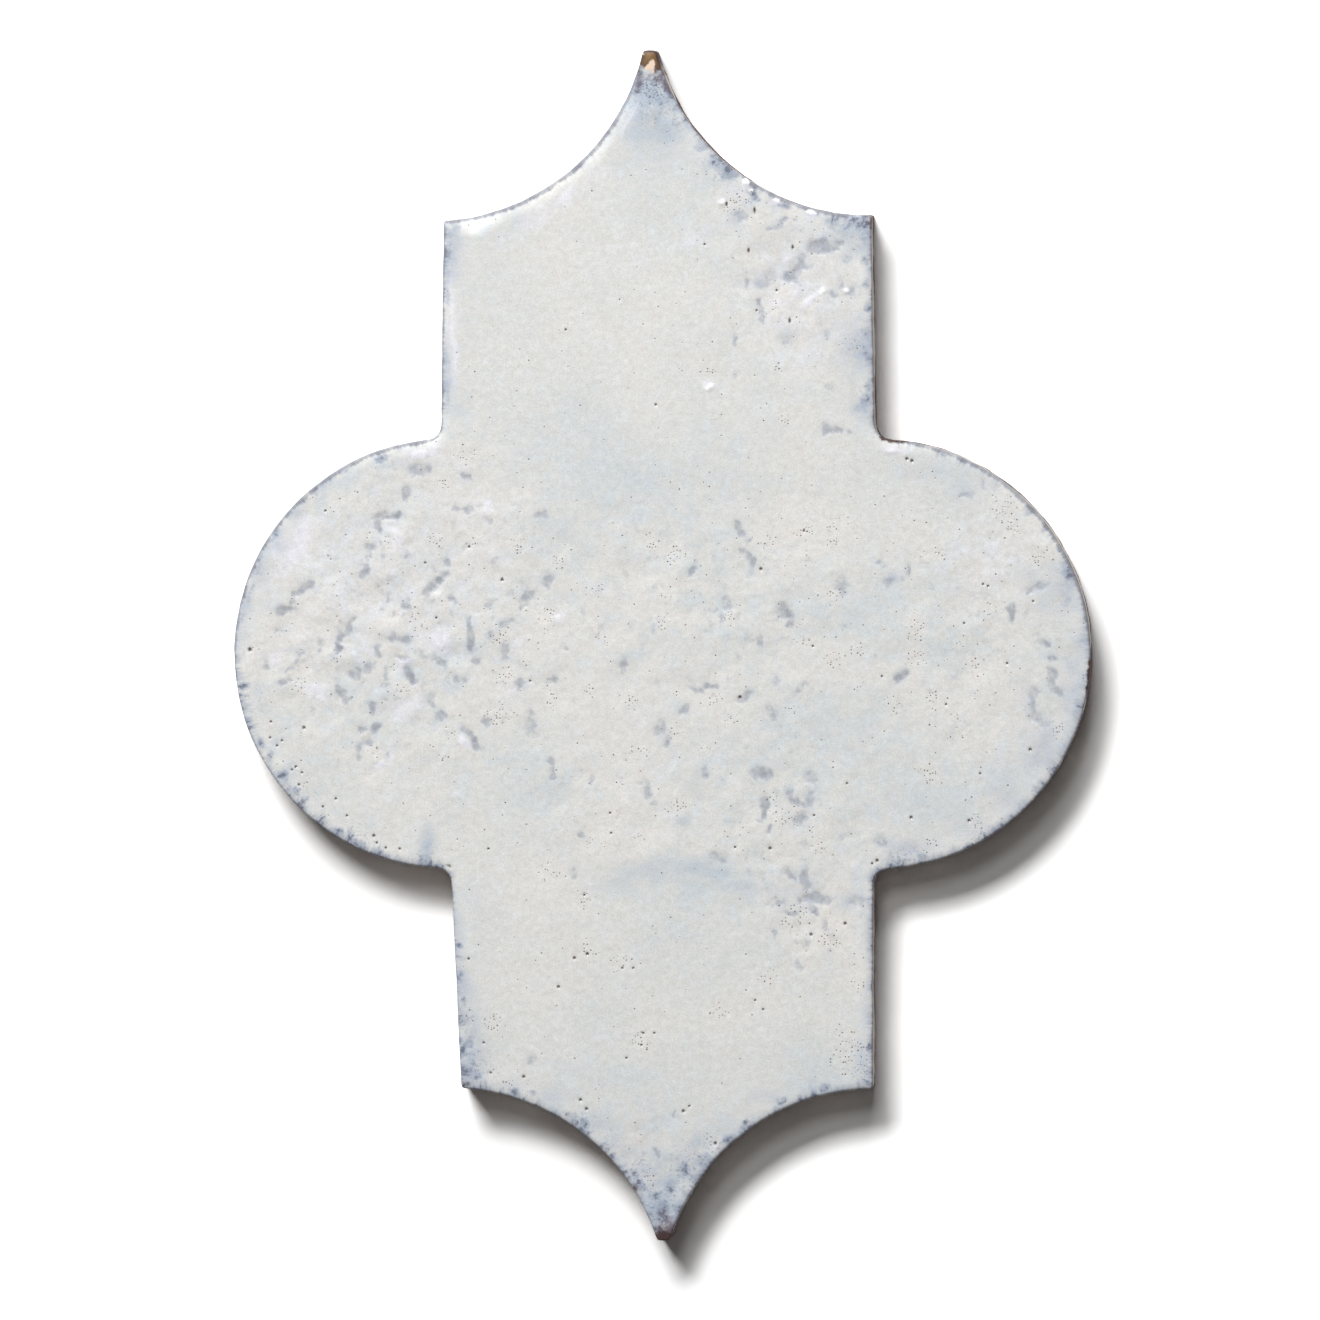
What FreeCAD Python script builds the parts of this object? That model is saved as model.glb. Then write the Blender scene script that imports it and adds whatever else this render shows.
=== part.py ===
import FreeCAD, Part

import math
import os

from FreeCAD import Vector

# Moroccan arabesque tile: one flat piece of clay, cut by hand to a lantern outline, glazed and fired.
# Frame: X across the lobes, Y from tip to tip, Z up through the thickness with the glazed face on top.
# The origin is in the middle of the flat back. Millimetres.

# Whole tile
length = 208.0             # tip to tip, along Y
thickness = 10.0           # flat back to glazed face

# Round side lobes
lobe_radius = 37.6
lobe_spacing = 74.8        # from one lobe's centre to the other's
lobe_drop = 1.4            # the lobes' line lies this far below the middle of the length

# Straight neck above the lobes: its sides run from the lobes out to the shoulders
upper_neck_height = 76.15  # lobes' line to the shoulder line
upper_root_width = 76.0    # neck where it leaves the lobes
upper_root_shift = -0.7    # middle of that width, off the axis
upper_shoulder_width = 75.0
upper_shoulder_shift = -0.7
upper_shoulder_rise = 0.9  # the right shoulder stands higher than the left by this much

# Straight neck below the lobes
lower_neck_height = 75.95
lower_root_width = 74.0
lower_root_shift = 0.0
lower_shoulder_width = 72.1
lower_shoulder_shift = 0.85
lower_shoulder_rise = 0.1

# Hollow arcs that sweep from the shoulders to the blunt tips
hollow_radius = 38.0
upper_tip_width = 2.4
upper_tip_shift = -2.0     # middle of the tip, off the axis
lower_tip_width = 2.2
lower_tip_shift = 0.2

# Edges
inner_corner_radius = 2.0  # where a neck's side meets a lobe
glazed_edge_radius = 1.0   # the glaze rounds the upper rim
back_edge_radius = 0.4     # wiped rim of the bare back

TIP_ROUND_SHARE = 0.48     # most of a tip's breadth that one rim's round may take


def lobe_centre(side):
    """Centre of the lobe on one side: -1 left, 1 right."""
    return Vector(side * lobe_spacing / 2, -lobe_drop, 0)


def circle_hit(start, aim, centre, radius):
    """Point where the line from start towards aim first meets a circle."""
    along = (aim - start).normalize()
    to_foot = (centre - start).dot(along)
    foot = start + along * to_foot
    half_chord = math.sqrt(radius ** 2 - (foot - centre).Length ** 2)
    return start + along * (to_foot - half_chord)


def hollow_arc(start, end, outward):
    """Arc of the hollow radius between two points, its middle sunk away from the outward side."""
    middle = (start + end) * 0.5
    half_chord = (end - start).Length / 2
    across = Vector(start.y - end.y, end.x - start.x, 0).normalize()
    if across.dot(outward) > 0:
        across = across * -1
    depth = hollow_radius - math.sqrt(hollow_radius ** 2 - half_chord ** 2)
    return Part.Arc(start, middle + across * depth, end).toShape()


def end_corners(up, neck_height, root, shoulder, rise, tip):
    """Corners of one end of the tile, as (left, right) pairs; up is 1 above the lobes and -1 below.
    root, shoulder and tip are each (width, shift)."""
    roots, shoulders, tips = [], [], []
    for side in (-1, 1):
        shoulder_at = Vector(shoulder[1] + side * shoulder[0] / 2,
                             up * neck_height - lobe_drop + side * rise / 2, 0)
        aim = Vector(root[1] + side * root[0] / 2, up * lobe_radius - lobe_drop, 0)
        roots.append(circle_hit(shoulder_at, aim, lobe_centre(side), lobe_radius))
        shoulders.append(shoulder_at)
        tips.append(Vector(tip[1] + side * tip[0] / 2, up * length / 2, 0))
    return roots, shoulders, tips


def end_edges(up, corners):
    """Edges of one end: the blunt tip, and on each side a hollow arc and a neck side."""
    roots, shoulders, tips = corners
    tip = Part.LineSegment(tips[0], tips[1]).toShape()
    hollows = [hollow_arc(tips[index], shoulders[index], Vector(side, up, 0))
               for index, side in enumerate((-1, 1))]
    neck_sides = [Part.LineSegment(shoulders[index], roots[index]).toShape() for index in (0, 1)]
    return tip, hollows, neck_sides


def plan_outline():
    """Closed outline of the tile, its four inner corners and the breadth of its narrower tip."""
    ends = {
        1: end_corners(1, upper_neck_height, (upper_root_width, upper_root_shift),
                       (upper_shoulder_width, upper_shoulder_shift), upper_shoulder_rise,
                       (upper_tip_width, upper_tip_shift)),
        -1: end_corners(-1, lower_neck_height, (lower_root_width, lower_root_shift),
                        (lower_shoulder_width, lower_shoulder_shift), lower_shoulder_rise,
                        (lower_tip_width, lower_tip_shift)),
    }
    edges, breadths = [], []
    for up, corners in ends.items():
        tip, hollows, neck_sides = end_edges(up, corners)
        edges += [tip] + hollows + neck_sides
        breadths.append(hollows[0].distToShape(hollows[1])[0])
    upper_roots, lower_roots = ends[1][0], ends[-1][0]
    for index, side in enumerate((-1, 1)):
        crown = lobe_centre(side) + Vector(side * lobe_radius, 0, 0)
        edges.append(Part.Arc(upper_roots[index], crown, lower_roots[index]).toShape())
    return Part.Wire(Part.__sortEdges__(edges)), upper_roots + lower_roots, min(breadths)


def upright_edges(solid, corners):
    """Upright edges of the solid that stand on the given plan points."""
    found = []
    for edge in solid.Edges:
        ends = [vertex.Point for vertex in edge.Vertexes]
        for corner in corners:
            if all(math.hypot(end.x - corner.x, end.y - corner.y) < 1e-6 for end in ends):
                found.append(edge)
    return found


def rim_edges(solid, height):
    """Edges of the solid that lie flat at one height."""
    return [edge for edge in solid.Edges
            if abs(edge.BoundBox.ZMin - height) < 1e-6 and abs(edge.BoundBox.ZMax - height) < 1e-6]


def tile():
    """The whole tile: outline, thickness, inner corners, glazed rim and wiped back rim."""
    outline, inner_corners, tip_breadth = plan_outline()
    solid = Part.Face(outline).extrude(Vector(0, 0, thickness))
    solid = solid.makeFillet(inner_corner_radius, upright_edges(solid, inner_corners))
    round_limit = TIP_ROUND_SHARE * tip_breadth
    solid = solid.makeFillet(min(glazed_edge_radius, round_limit), rim_edges(solid, thickness))
    return solid.makeFillet(min(back_edge_radius, round_limit), rim_edges(solid, 0))


os.makedirs("parts", exist_ok=True)
arabesque_tile = tile()
arabesque_tile.exportStep("parts/arabesque_tile.step")
box = arabesque_tile.optimalBoundingBox()
print("valid", arabesque_tile.isValid(), "solids", len(arabesque_tile.Solids))
print("box", round(box.XMin, 3), round(box.XMax, 3), round(box.YMin, 3), round(box.YMax, 3),
      round(box.ZMin, 3), round(box.ZMax, 3))
print("volume_cm3", round(arabesque_tile.Volume / 1000, 2))
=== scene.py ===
"""Looks of the moroccan arabesque tile: pitted off-white glaze over brown clay, lying on a white table."""

import math
from collections import namedtuple

import bpy
import numpy as np
from mathutils import Matrix, Vector
from mathutils.geometry import delaunay_2d_cdt
from mathutils.kdtree import KDTree


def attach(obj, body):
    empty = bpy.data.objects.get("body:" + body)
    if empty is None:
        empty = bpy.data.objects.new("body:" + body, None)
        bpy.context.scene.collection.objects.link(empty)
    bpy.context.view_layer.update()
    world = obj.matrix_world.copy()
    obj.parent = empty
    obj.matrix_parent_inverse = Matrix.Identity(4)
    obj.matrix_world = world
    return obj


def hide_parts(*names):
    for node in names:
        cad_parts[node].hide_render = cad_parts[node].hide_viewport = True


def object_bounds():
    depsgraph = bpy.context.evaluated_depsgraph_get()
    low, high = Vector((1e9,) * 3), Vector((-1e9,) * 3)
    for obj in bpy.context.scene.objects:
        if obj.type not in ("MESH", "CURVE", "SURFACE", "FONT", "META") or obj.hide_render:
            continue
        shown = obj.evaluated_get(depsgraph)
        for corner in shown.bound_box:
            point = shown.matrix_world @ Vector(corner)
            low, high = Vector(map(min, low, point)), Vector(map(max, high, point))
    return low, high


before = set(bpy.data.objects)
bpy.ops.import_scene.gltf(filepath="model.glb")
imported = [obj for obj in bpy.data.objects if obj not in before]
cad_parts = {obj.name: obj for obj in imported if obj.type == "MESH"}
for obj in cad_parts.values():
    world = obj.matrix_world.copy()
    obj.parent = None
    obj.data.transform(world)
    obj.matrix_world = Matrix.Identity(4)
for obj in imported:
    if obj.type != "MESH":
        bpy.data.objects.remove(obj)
cad_low, cad_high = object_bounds()

NODE = "arabesque_tile"
BODY = "root"
MM = 0.001

# The photograph's scale: marks on the face are placed by the pixel they were read at
PX_PER_MM = 5.72
PHOTO_CENTRE_PX = (661.5, 646.0)
IMAGE_PX = 1320

# Mesh of the tile, millimetres
RIM_STEP = 0.55            # spacing of points along the outline
FACE_STEP = 0.60           # spacing of points on the plain face
MARK_STEP = 0.30           # finer spacing inside pits and blisters
GRID_JITTER = 0.12         # share of the spacing that points stray by
FINE_MARGIN = 1.3225       # finer points fill a pit's size times this
PLAIN_MARGIN = 1.495       # plain points start at a pit's size times this
RIM_CLEARANCE = 0.22       # least distance of a face point from the rim's last ring
RIM_INSETS = (0.0, 0.05, 0.15, 0.3, 0.5, 0.8, 1.2)
INSET_STEP = 0.1
INSET_REACH = 2.4          # deepest inset that is tried
INSET_SHARE = 0.6          # share of the depth found that is used
WALL_LEVELS = (0.93, 0.8, 0.6, 0.4, 0.2, 0.08)   # shares of the wall's height
WALL_ROUGHNESS = 0.2
BACK_ROUND = 0.4           # rounding of the back's rim
BACK_STEPS = ((0.2, 0.45), (1.0, 0.0))           # its steps in and up, as shares of the rounding
SHARP_TURN = math.radians(30)
CORNER_EASE = 0.12         # how far a round of easing moves points at corners and on the sides
SIDE_EASE = 0.5
EASE_ROUNDS = 6
NOISE_TABLE = 128

# Glazed face, millimetres
FACE_ALLOWANCE = 0.30      # room kept under the box for waves and blisters
CUT_WOBBLE = 0.14          # unevenness of the hand-cut outline
EDGE_ROUND = 0.35          # tight round at the very edge
ROLL_WIDTH = (1.6, 3.6)    # how far in a rim starts to roll over, plain and strongly rolled
ROLL_DROP = (0.3, 1.3)     # how far it drops by the edge
BROAD_WAVES = (0.05, 24.0)     # height and width of the face's waves
SMALL_WAVES = (0.012, 4.0)
ROUGH_WAVES = (0.2, 5.0)       # added where the face is rough
WAVE_RANGE = (-0.35, 0.22)
PIT_MARGIN = 1.15          # pits spread a little past the sizes read
MARK_REACH = 2.0           # how far a mark's halo goes past it
PIT_STEEPNESS = 0.13
BLISTER_MARGIN = 1.2
BLISTER_STEEPNESS = 0.19
PAINTED_GLINT_STRENGTH = 1.5        # blisters this strong get a painted white highlight
SOFT_MARGIN = 1.3          # soft marks spread past the sizes read
PINHOLE_MARGIN = 0.85
PINHOLE_DEPTH = 0.06       # millimetres for each photo pixel of width
PINHOLE_RINGS = ((0.55, 7), (1.0, 9), (1.5, 11))
PINHOLE_CLEARING = 2.0


def srgb(red, green, blue):
    """A display colour, 0 to 255, as the linear colour that shaders take."""
    shares = [value / 255 for value in (red, green, blue)]
    linear = [v / 12.92 if v <= 0.04045 else ((v + 0.055) / 1.055) ** 2.4 for v in shares]
    return (*linear, 1.0)


# Colours of the glaze and clay
NEUTRAL_GLAZE = srgb(224, 225, 223)
WARM_GLAZE = srgb(234, 231, 227)
COOL_GLAZE = srgb(205, 214, 219)
# Pale thick glaze, also used for painted highlights and sheen
PALE_GLAZE_AND_SHEEN = srgb(238, 237, 245)
PIT_GLAZE = srgb(169, 174, 183)
PIT_CORE = srgb(136, 139, 146)
RIM_BLUE = srgb(158, 168, 186)
RIM_DEEP = srgb(92, 99, 117)
VEIL_BLUE = srgb(172, 183, 200)
RIM_LINE = srgb(138, 139, 148)
DUSKY_GLAZE = srgb(104, 92, 104)
# Painted highlight: the white of the glints on the strongest blisters
PAINTED_GLINT_WHITE = srgb(252, 252, 254)
WALL_GLAZE = srgb(224, 216, 207)
PIN_CLAY = srgb(84, 62, 56)
HOLE_CLAY = srgb(70, 56, 50)
DARK_CLAY = srgb(60, 46, 50)
LIGHT_CLAY = srgb(116, 88, 70)
AMBER_CLAY = srgb(120, 90, 42)
# Painted highlight: peach light off the upper tip's amber facet
PAINTED_TIP_HIGHLIGHT = srgb(242, 216, 194)

# Patterns in the glaze, in features to the metre
CLOUD_SCALE = 65.0
MOTTLE_SCALE = 330.0
SMUDGE_SCALE = 420.0
LUMP_SCALE = 700.0
FINE_SCALE = 1100.0
PIN_CELLS = 1900.0
CRACKLE_SCALE = 2100.0
GRAIN_SCALE = 3400.0
# Patterns along the rim, in features to the millimetre
RUN_OFF_SCALE = 0.13
TEETH_SCALE = 0.42
STREAK_SCALE = 1.7

# Finish of the glaze
GLAZE_ROUGHNESS = 0.22
GLAZE_IOR = 1.5
BUMP_STRENGTH = 0.3
BUMP_DEPTH = 0.0002

# Light and camera, metres
TABLE_SIDE = 12.0
TABLE_COLOUR = (0.86, 0.85, 0.84, 1)
TABLE_SEEN = (1.45, 1.45, 1.45, 1)     # the table as the camera and reflections see it
LAMP_DISTANCE = 2.4
# Lamps: name, direction, size, and the brightness that each gives a level white surface
LAMPS = (
    ("softbox", (-0.39, 0.80, 1.0), (0.9, 0.5), 0.52),
    ("strip_light", (-0.25, 1.05, 1.0), (1.6, 0.4), 0.21),
    ("bright_wall", (-0.40, 1.9, 1.0), (1.4, 0.6), 0.11),
    ("overhead_card", (-0.10, 0.45, 1.0), (0.5, 0.5), 0.08),
)
SKY_STRENGTH = 0.05
SKY_COLOUR = (1.0, 0.95, 0.92, 1)
CAMERA_DISTANCE = 3.0
CAMERA_CLIP = (0.1, 20.0)
CAMERA_LEAN = (3.8, 1.6)   # degrees towards +X and +Y from straight above
SENSOR_MM = 36.0

# Marks read off the face, in photo pixels
# A spot is x, y, radius and strength; a cloud is x, y, radius across, radius up and strength;
# a mark is x, y, length, width, turn in degrees and strength
# Where the rim rolls over most: spots
ROLLED_RIMS = (
    (478, 226, 24, 1.4), (475, 228, 60, 0.6), (540, 195, 60, 0.5), (590, 150, 60, 0.6), (625, 100, 45, 0.6),
    (446, 290, 60, 0.6), (446, 390, 60, 0.5), (420, 448, 40, 0.3), (893, 440, 30, 0.3),
)
# Where the rolled rim shines: spots
SHINY_RIMS = (
    (480, 227, 20, 1.0), (893, 447, 26, 0.8), (425, 452, 30, 0.8), (710, 388, 20, 1.0), (628, 124, 14, 0.7),
    (608, 147, 14, 0.6),
)
# Where the rim breaks to blue most: spots
BLUE_RIMS = (
    (300, 800, 60, 0.9), (360, 845, 60, 1.0), (430, 865, 30, 1.0), (240, 700, 70, 0.7), (245, 610, 40, 0.4),
    (258, 560, 40, 0.4), (282, 518, 36, 0.5), (316, 486, 30, 0.8), (455, 1030, 70, 0.9),
    (470, 1080, 30, 1.0), (520, 1095, 40, 0.7), (590, 1125, 50, 0.9), (635, 1180, 40, 1.0),
    (664, 1225, 30, 1.0), (695, 1170, 40, 0.9), (740, 1130, 50, 0.7), (800, 1098, 50, 0.7),
    (868, 1080, 24, 1.0), (872, 1040, 40, 0.6), (875, 940, 50, 0.6), (900, 862, 50, 0.9),
    (985, 838, 50, 0.8), (1050, 770, 50, 0.8), (1080, 700, 40, 0.8), (1088, 640, 50, 0.7),
    (1020, 808, 40, 0.7), (1075, 575, 40, 0.8), (1040, 520, 40, 0.6), (950, 455, 60, 0.5),
    (870, 400, 30, 0.6), (870, 345, 40, 0.5), (870, 250, 40, 0.6), (840, 218, 50, 0.8), (760, 195, 40, 0.9),
    (718, 165, 40, 1.0), (680, 110, 40, 0.9), (640, 90, 30, 0.9), (600, 140, 50, 0.6), (500, 212, 60, 0.5),
    (447, 260, 50, 0.8), (445, 380, 60, 0.6), (400, 448, 40, 0.5), (1062, 750, 30, 0.6),
)
# Blue patches where the glaze is thin near the rim: marks
RIM_PATCHES = (
    (720, 167, 28, 14, -38, 0.6), (756, 194, 15, 12, -30, 0.8), (786, 206, 20, 9, -18, 0.9),
    (834, 221, 18, 10, -5, 1.0), (858, 223, 30, 16, 0, 1.1), (865, 240, 14, 12, 90, 0.7),
    (865, 262, 16, 10, 90, 0.8), (867, 284, 16, 10, 90, 0.75), (868, 308, 16, 10, 90, 0.75),
    (853, 251, 12, 8, 20, 0.5), (842, 232, 14, 7, 0, 0.5), (866, 332, 20, 13, 90, 0.65),
    (868, 356, 20, 12, 90, 0.7), (868, 386, 14, 11, 90, 0.75), (865, 403, 20, 18, 90, 0.7),
    (845, 214, 22, 6, -4, 0.8), (655, 98, 30, 26, 90, 0.4), (637, 86, 30, 9, 70, 1.2),
    (669, 88, 32, 10, -70, 1.2), (680, 125, 22, 14, -50, 0.45), (700, 148, 20, 12, -45, 0.4),
    (920, 445, 16, 6, -12, 0.7), (941, 453, 16, 8, -22, 0.9), (1029, 505, 14, 8, -40, 0.8),
    (1038, 516, 12, 9, -45, 0.8), (1061, 547, 13, 10, -55, 0.8), (1071, 574, 20, 15, -65, 1.1),
    (1084, 620, 20, 6, -80, 0.6), (1062, 753, 13, 9, 60, 0.8), (1045, 785, 16, 8, 50, 0.6),
    (1000, 825, 12, 8, 40, 0.9), (985, 838, 14, 9, 32, 1.0), (969, 845, 14, 9, 26, 1.0),
    (920, 858, 12, 9, 12, 0.9), (905, 864, 13, 11, 8, 1.0), (891, 867, 12, 9, 10, 1.0),
    (870, 947, 15, 8, 90, 0.8), (871, 1044, 22, 9, 90, 0.9), (866, 1082, 15, 10, 0, 1.2),
    (825, 1088, 18, 8, 12, 0.9), (781, 1100, 16, 9, 22, 0.9), (745, 1124, 16, 10, 40, 0.9),
    (728, 1139, 18, 11, 45, 1.0), (701, 1158, 20, 14, 50, 1.0), (685, 1171, 22, 15, 52, 0.9),
    (670, 1190, 20, 16, 60, 0.9), (652, 1196, 18, 14, -60, 0.8), (660, 1214, 26, 18, 90, 1.1),
    (639, 1187, 14, 9, -58, 1.0), (634, 1174, 16, 10, -55, 1.0), (614, 1157, 16, 11, -50, 1.0),
    (584, 1125, 17, 12, -42, 0.95), (570, 1117, 16, 9, -38, 0.9), (532, 1094, 14, 8, -22, 0.9),
    (513, 1091, 16, 9, -15, 0.9), (474, 1079, 16, 11, 20, 1.0), (467, 1086, 13, 7, 0, 1.3),
    (463, 1049, 20, 9, 80, 1.0), (459, 1017, 16, 9, 90, 1.2), (460, 1002, 10, 8, 0, 0.9),
    (459, 990, 10, 8, 0, 0.8), (458, 974, 10, 8, 0, 0.9), (457, 959, 11, 8, 0, 0.8),
    (457, 944, 12, 8, 0, 0.9), (436, 868, 14, 8, -5, 1.0), (423, 862, 16, 12, -8, 1.0),
    (383, 855, 20, 11, -18, 0.9), (358, 845, 22, 10, -28, 0.95), (337, 832, 16, 11, -35, 0.8),
    (319, 818, 14, 12, -40, 0.8), (294, 793, 13, 11, -48, 0.95), (281, 774, 16, 15, -52, 0.8),
    (268, 757, 14, 12, -58, 0.8), (259, 742, 14, 9, -65, 0.75), (244, 687, 15, 9, 0, 0.9),
    (240, 617, 15, 7, 85, 0.7), (248, 592, 34, 8, 78, 0.5), (257, 563, 32, 8, 66, 0.55),
    (272, 536, 28, 8, 57, 0.5), (290, 512, 22, 8, 50, 0.45), (304, 499, 16, 9, 48, 0.9),
    (315, 488, 16, 9, 42, 1.1), (345, 470, 20, 8, 34, 0.6), (381, 457, 18, 7, 20, 0.8),
    (449, 250, 20, 9, 90, 0.7), (448, 300, 26, 8, 90, 0.6), (448, 400, 24, 8, 90, 0.6),
    (455, 228, 14, 14, 0, 0.7),
)
# Where the grey line at the very edge is broadest: spots
GREY_EDGE_SPOTS = (
    (752, 190, 20, 0.7), (780, 203, 22, 0.9), (808, 210, 22, 0.9), (836, 214, 20, 0.8), (930, 448, 26, 0.7),
    (960, 458, 26, 0.8), (990, 473, 26, 0.8), (1018, 493, 26, 0.9), (1042, 517, 26, 0.9),
    (1062, 547, 26, 0.9), (1077, 580, 26, 0.8), (1086, 615, 26, 0.7), (455, 226, 20, 0.7),
    (485, 221, 25, 0.8), (515, 210, 30, 0.9), (545, 193, 30, 1.0), (572, 172, 30, 1.0), (597, 148, 25, 1.0),
    (616, 122, 25, 1.0), (632, 98, 20, 0.8), (445, 260, 30, 0.5), (445, 320, 40, 0.5), (444, 390, 40, 0.4),
    (415, 443, 30, 0.8), (385, 453, 30, 0.8), (358, 466, 30, 0.9), (333, 481, 28, 0.9), (308, 498, 26, 0.9),
    (285, 522, 28, 0.7), (262, 557, 28, 0.6), (248, 592, 28, 0.5), (240, 632, 30, 0.5),
)
# Where the thin glaze is speckled dark: spots
SPECKLED_SPOTS = (
    (655, 92, 26, 1.3), (676, 112, 16, 0.8), (720, 166, 18, 0.8), (660, 1210, 20, 1.1),
    (688, 1172, 24, 0.8), (714, 1150, 18, 0.7), (634, 1176, 18, 0.8), (606, 1148, 16, 0.6),
    (470, 1066, 22, 0.9), (462, 1020, 16, 0.8), (520, 1092, 16, 0.6), (584, 1124, 14, 0.8),
    (866, 1078, 14, 0.9), (300, 794, 18, 0.7), (358, 842, 18, 0.8), (424, 862, 14, 0.7),
    (250, 700, 16, 0.6), (866, 400, 16, 0.55), (866, 345, 16, 0.55), (850, 220, 20, 0.8),
    (1072, 572, 14, 0.7), (900, 862, 18, 0.8), (980, 840, 18, 0.7), (305, 495, 16, 0.6),
    (248, 580, 14, 0.5),
)
# Dusky thin glaze next to the bare clay: marks
DUSKY_MARKS = (
    (638, 80, 36, 11, 74, 1.0), (664, 80, 44, 14, -68, 1.1), (650, 78, 22, 12, 0, 0.6),
    (664, 1231, 28, 24, 0, 1.6), (664, 1218, 20, 24, 0, 0.7), (868, 222, 26, 12, -60, 0.7),
    (848, 214, 36, 6, -4, 0.6), (465, 1085, 18, 7, -10, 0.9), (636, 1190, 18, 6, -58, 0.7),
    (720, 160, 26, 6, -40, 0.5), (866, 1085, 14, 6, 0, 0.7),
)
# Blue veils of thin glaze: clouds
BLUE_VEILS = (
    (656, 92, 26, 24, 0.95), (656, 124, 36, 32, 0.55), (662, 1204, 24, 26, 0.95), (690, 1168, 24, 20, 0.6),
    (645, 1182, 20, 20, 0.6), (466, 1066, 16, 28, 0.9), (863, 404, 14, 15, 0.9), (861, 338, 16, 28, 0.8),
    (862, 228, 14, 16, 0.8), (845, 220, 16, 9, 0.6), (424, 852, 9, 22, 0.6), (800, 268, 22, 16, 0.18),
    (828, 246, 26, 12, 0.18), (838, 320, 22, 26, 0.14), (787, 343, 10, 9, 0.35), (850, 286, 14, 12, 0.15),
    (790, 225, 16, 10, 0.15), (741, 215, 10, 10, 0.3), (770, 282, 14, 12, 0.25), (722, 168, 20, 9, 0.5),
    (1067, 576, 16, 18, 0.7), (1062, 600, 16, 12, 0.5), (1080, 640, 10, 40, 0.5), (1076, 690, 12, 40, 0.5),
    (1052, 750, 20, 26, 0.5), (1010, 800, 26, 14, 0.4), (905, 858, 30, 10, 0.5), (985, 834, 30, 12, 0.4),
    (447, 250, 8, 40, 0.9), (447, 380, 7, 40, 0.6), (252, 566, 10, 24, 0.65), (267, 538, 10, 16, 0.6),
    (243, 596, 9, 24, 0.7), (287, 512, 10, 12, 0.5), (239, 624, 8, 20, 0.6), (684, 870, 32, 8, 0.32),
    (715, 875, 28, 9, 0.3), (650, 878, 30, 9, 0.28), (745, 886, 22, 9, 0.22), (616, 888, 24, 8, 0.2),
    (640, 1160, 50, 40, 0.18), (640, 1180, 12, 16, 0.5), (610, 1150, 16, 12, 0.4), (866, 1076, 12, 16, 0.6),
    (681, 824, 9, 6, 0.6), (889, 581, 7, 5, 0.5), (697, 783, 9, 14, 0.25), (800, 893, 26, 14, 0.3),
    (858, 902, 12, 10, 0.3), (459, 930, 8, 30, 0.5), (461, 980, 9, 30, 0.6), (463, 1032, 11, 28, 0.6),
    (870, 935, 8, 36, 0.4), (871, 1000, 7, 40, 0.4), (868, 1056, 10, 24, 0.45), (545, 1098, 26, 9, 0.35),
    (592, 1128, 20, 13, 0.4), (622, 1160, 14, 14, 0.4), (775, 1102, 28, 10, 0.35),
    (728, 1134, 20, 14, 0.35), (700, 1150, 16, 14, 0.4), (838, 1085, 24, 9, 0.35), (500, 1086, 20, 9, 0.35),
    (800, 802, 14, 18, 0.25), (930, 465, 30, 12, 0.25), (962, 490, 26, 14, 0.22), (985, 482, 7, 10, 0.45),
    (998, 484, 7, 9, 0.45), (1040, 583, 22, 10, 0.35), (1056, 602, 16, 14, 0.3), (1034, 706, 8, 20, 0.3),
)
# Cool blue-grey glaze: clouds
COOL_CLOUDS = (
    (620, 470, 105, 46, 0.6), (684, 872, 34, 9, 0.9), (715, 876, 30, 9, 0.85), (745, 887, 24, 9, 0.7),
    (650, 880, 30, 10, 0.8), (615, 890, 34, 11, 0.5), (690, 885, 60, 16, 0.5), (940, 812, 50, 28, 0.75),
    (1008, 776, 45, 24, 0.5), (815, 1055, 55, 30, 0.6), (592, 1072, 55, 18, 0.6), (600, 1115, 70, 22, 0.4),
    (660, 1120, 40, 30, 0.4), (855, 610, 55, 50, 0.45), (950, 640, 70, 60, 0.25), (840, 730, 60, 40, 0.45),
    (700, 610, 60, 60, 0.3), (540, 780, 45, 50, 0.35), (440, 785, 60, 26, 0.2), (655, 110, 45, 45, 0.9),
    (655, 160, 50, 40, 0.5), (820, 330, 50, 50, 0.2), (1050, 640, 40, 90, 0.35), (930, 470, 60, 30, 0.45),
    (1030, 580, 40, 40, 0.4), (424, 850, 10, 24, 0.9), (923, 807, 9, 14, 0.8), (681, 824, 11, 8, 1.0),
    (560, 540, 60, 60, 0.3), (490, 1040, 40, 40, 0.45), (770, 270, 60, 50, 0.15), (300, 470, 50, 30, 0.15),
    (690, 440, 70, 30, 0.4), (660, 1195, 26, 36, 0.9), (880, 790, 40, 30, 0.3), (725, 175, 40, 20, 0.5),
    (845, 230, 40, 18, 0.5), (470, 240, 18, 22, 0.4),
)
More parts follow.
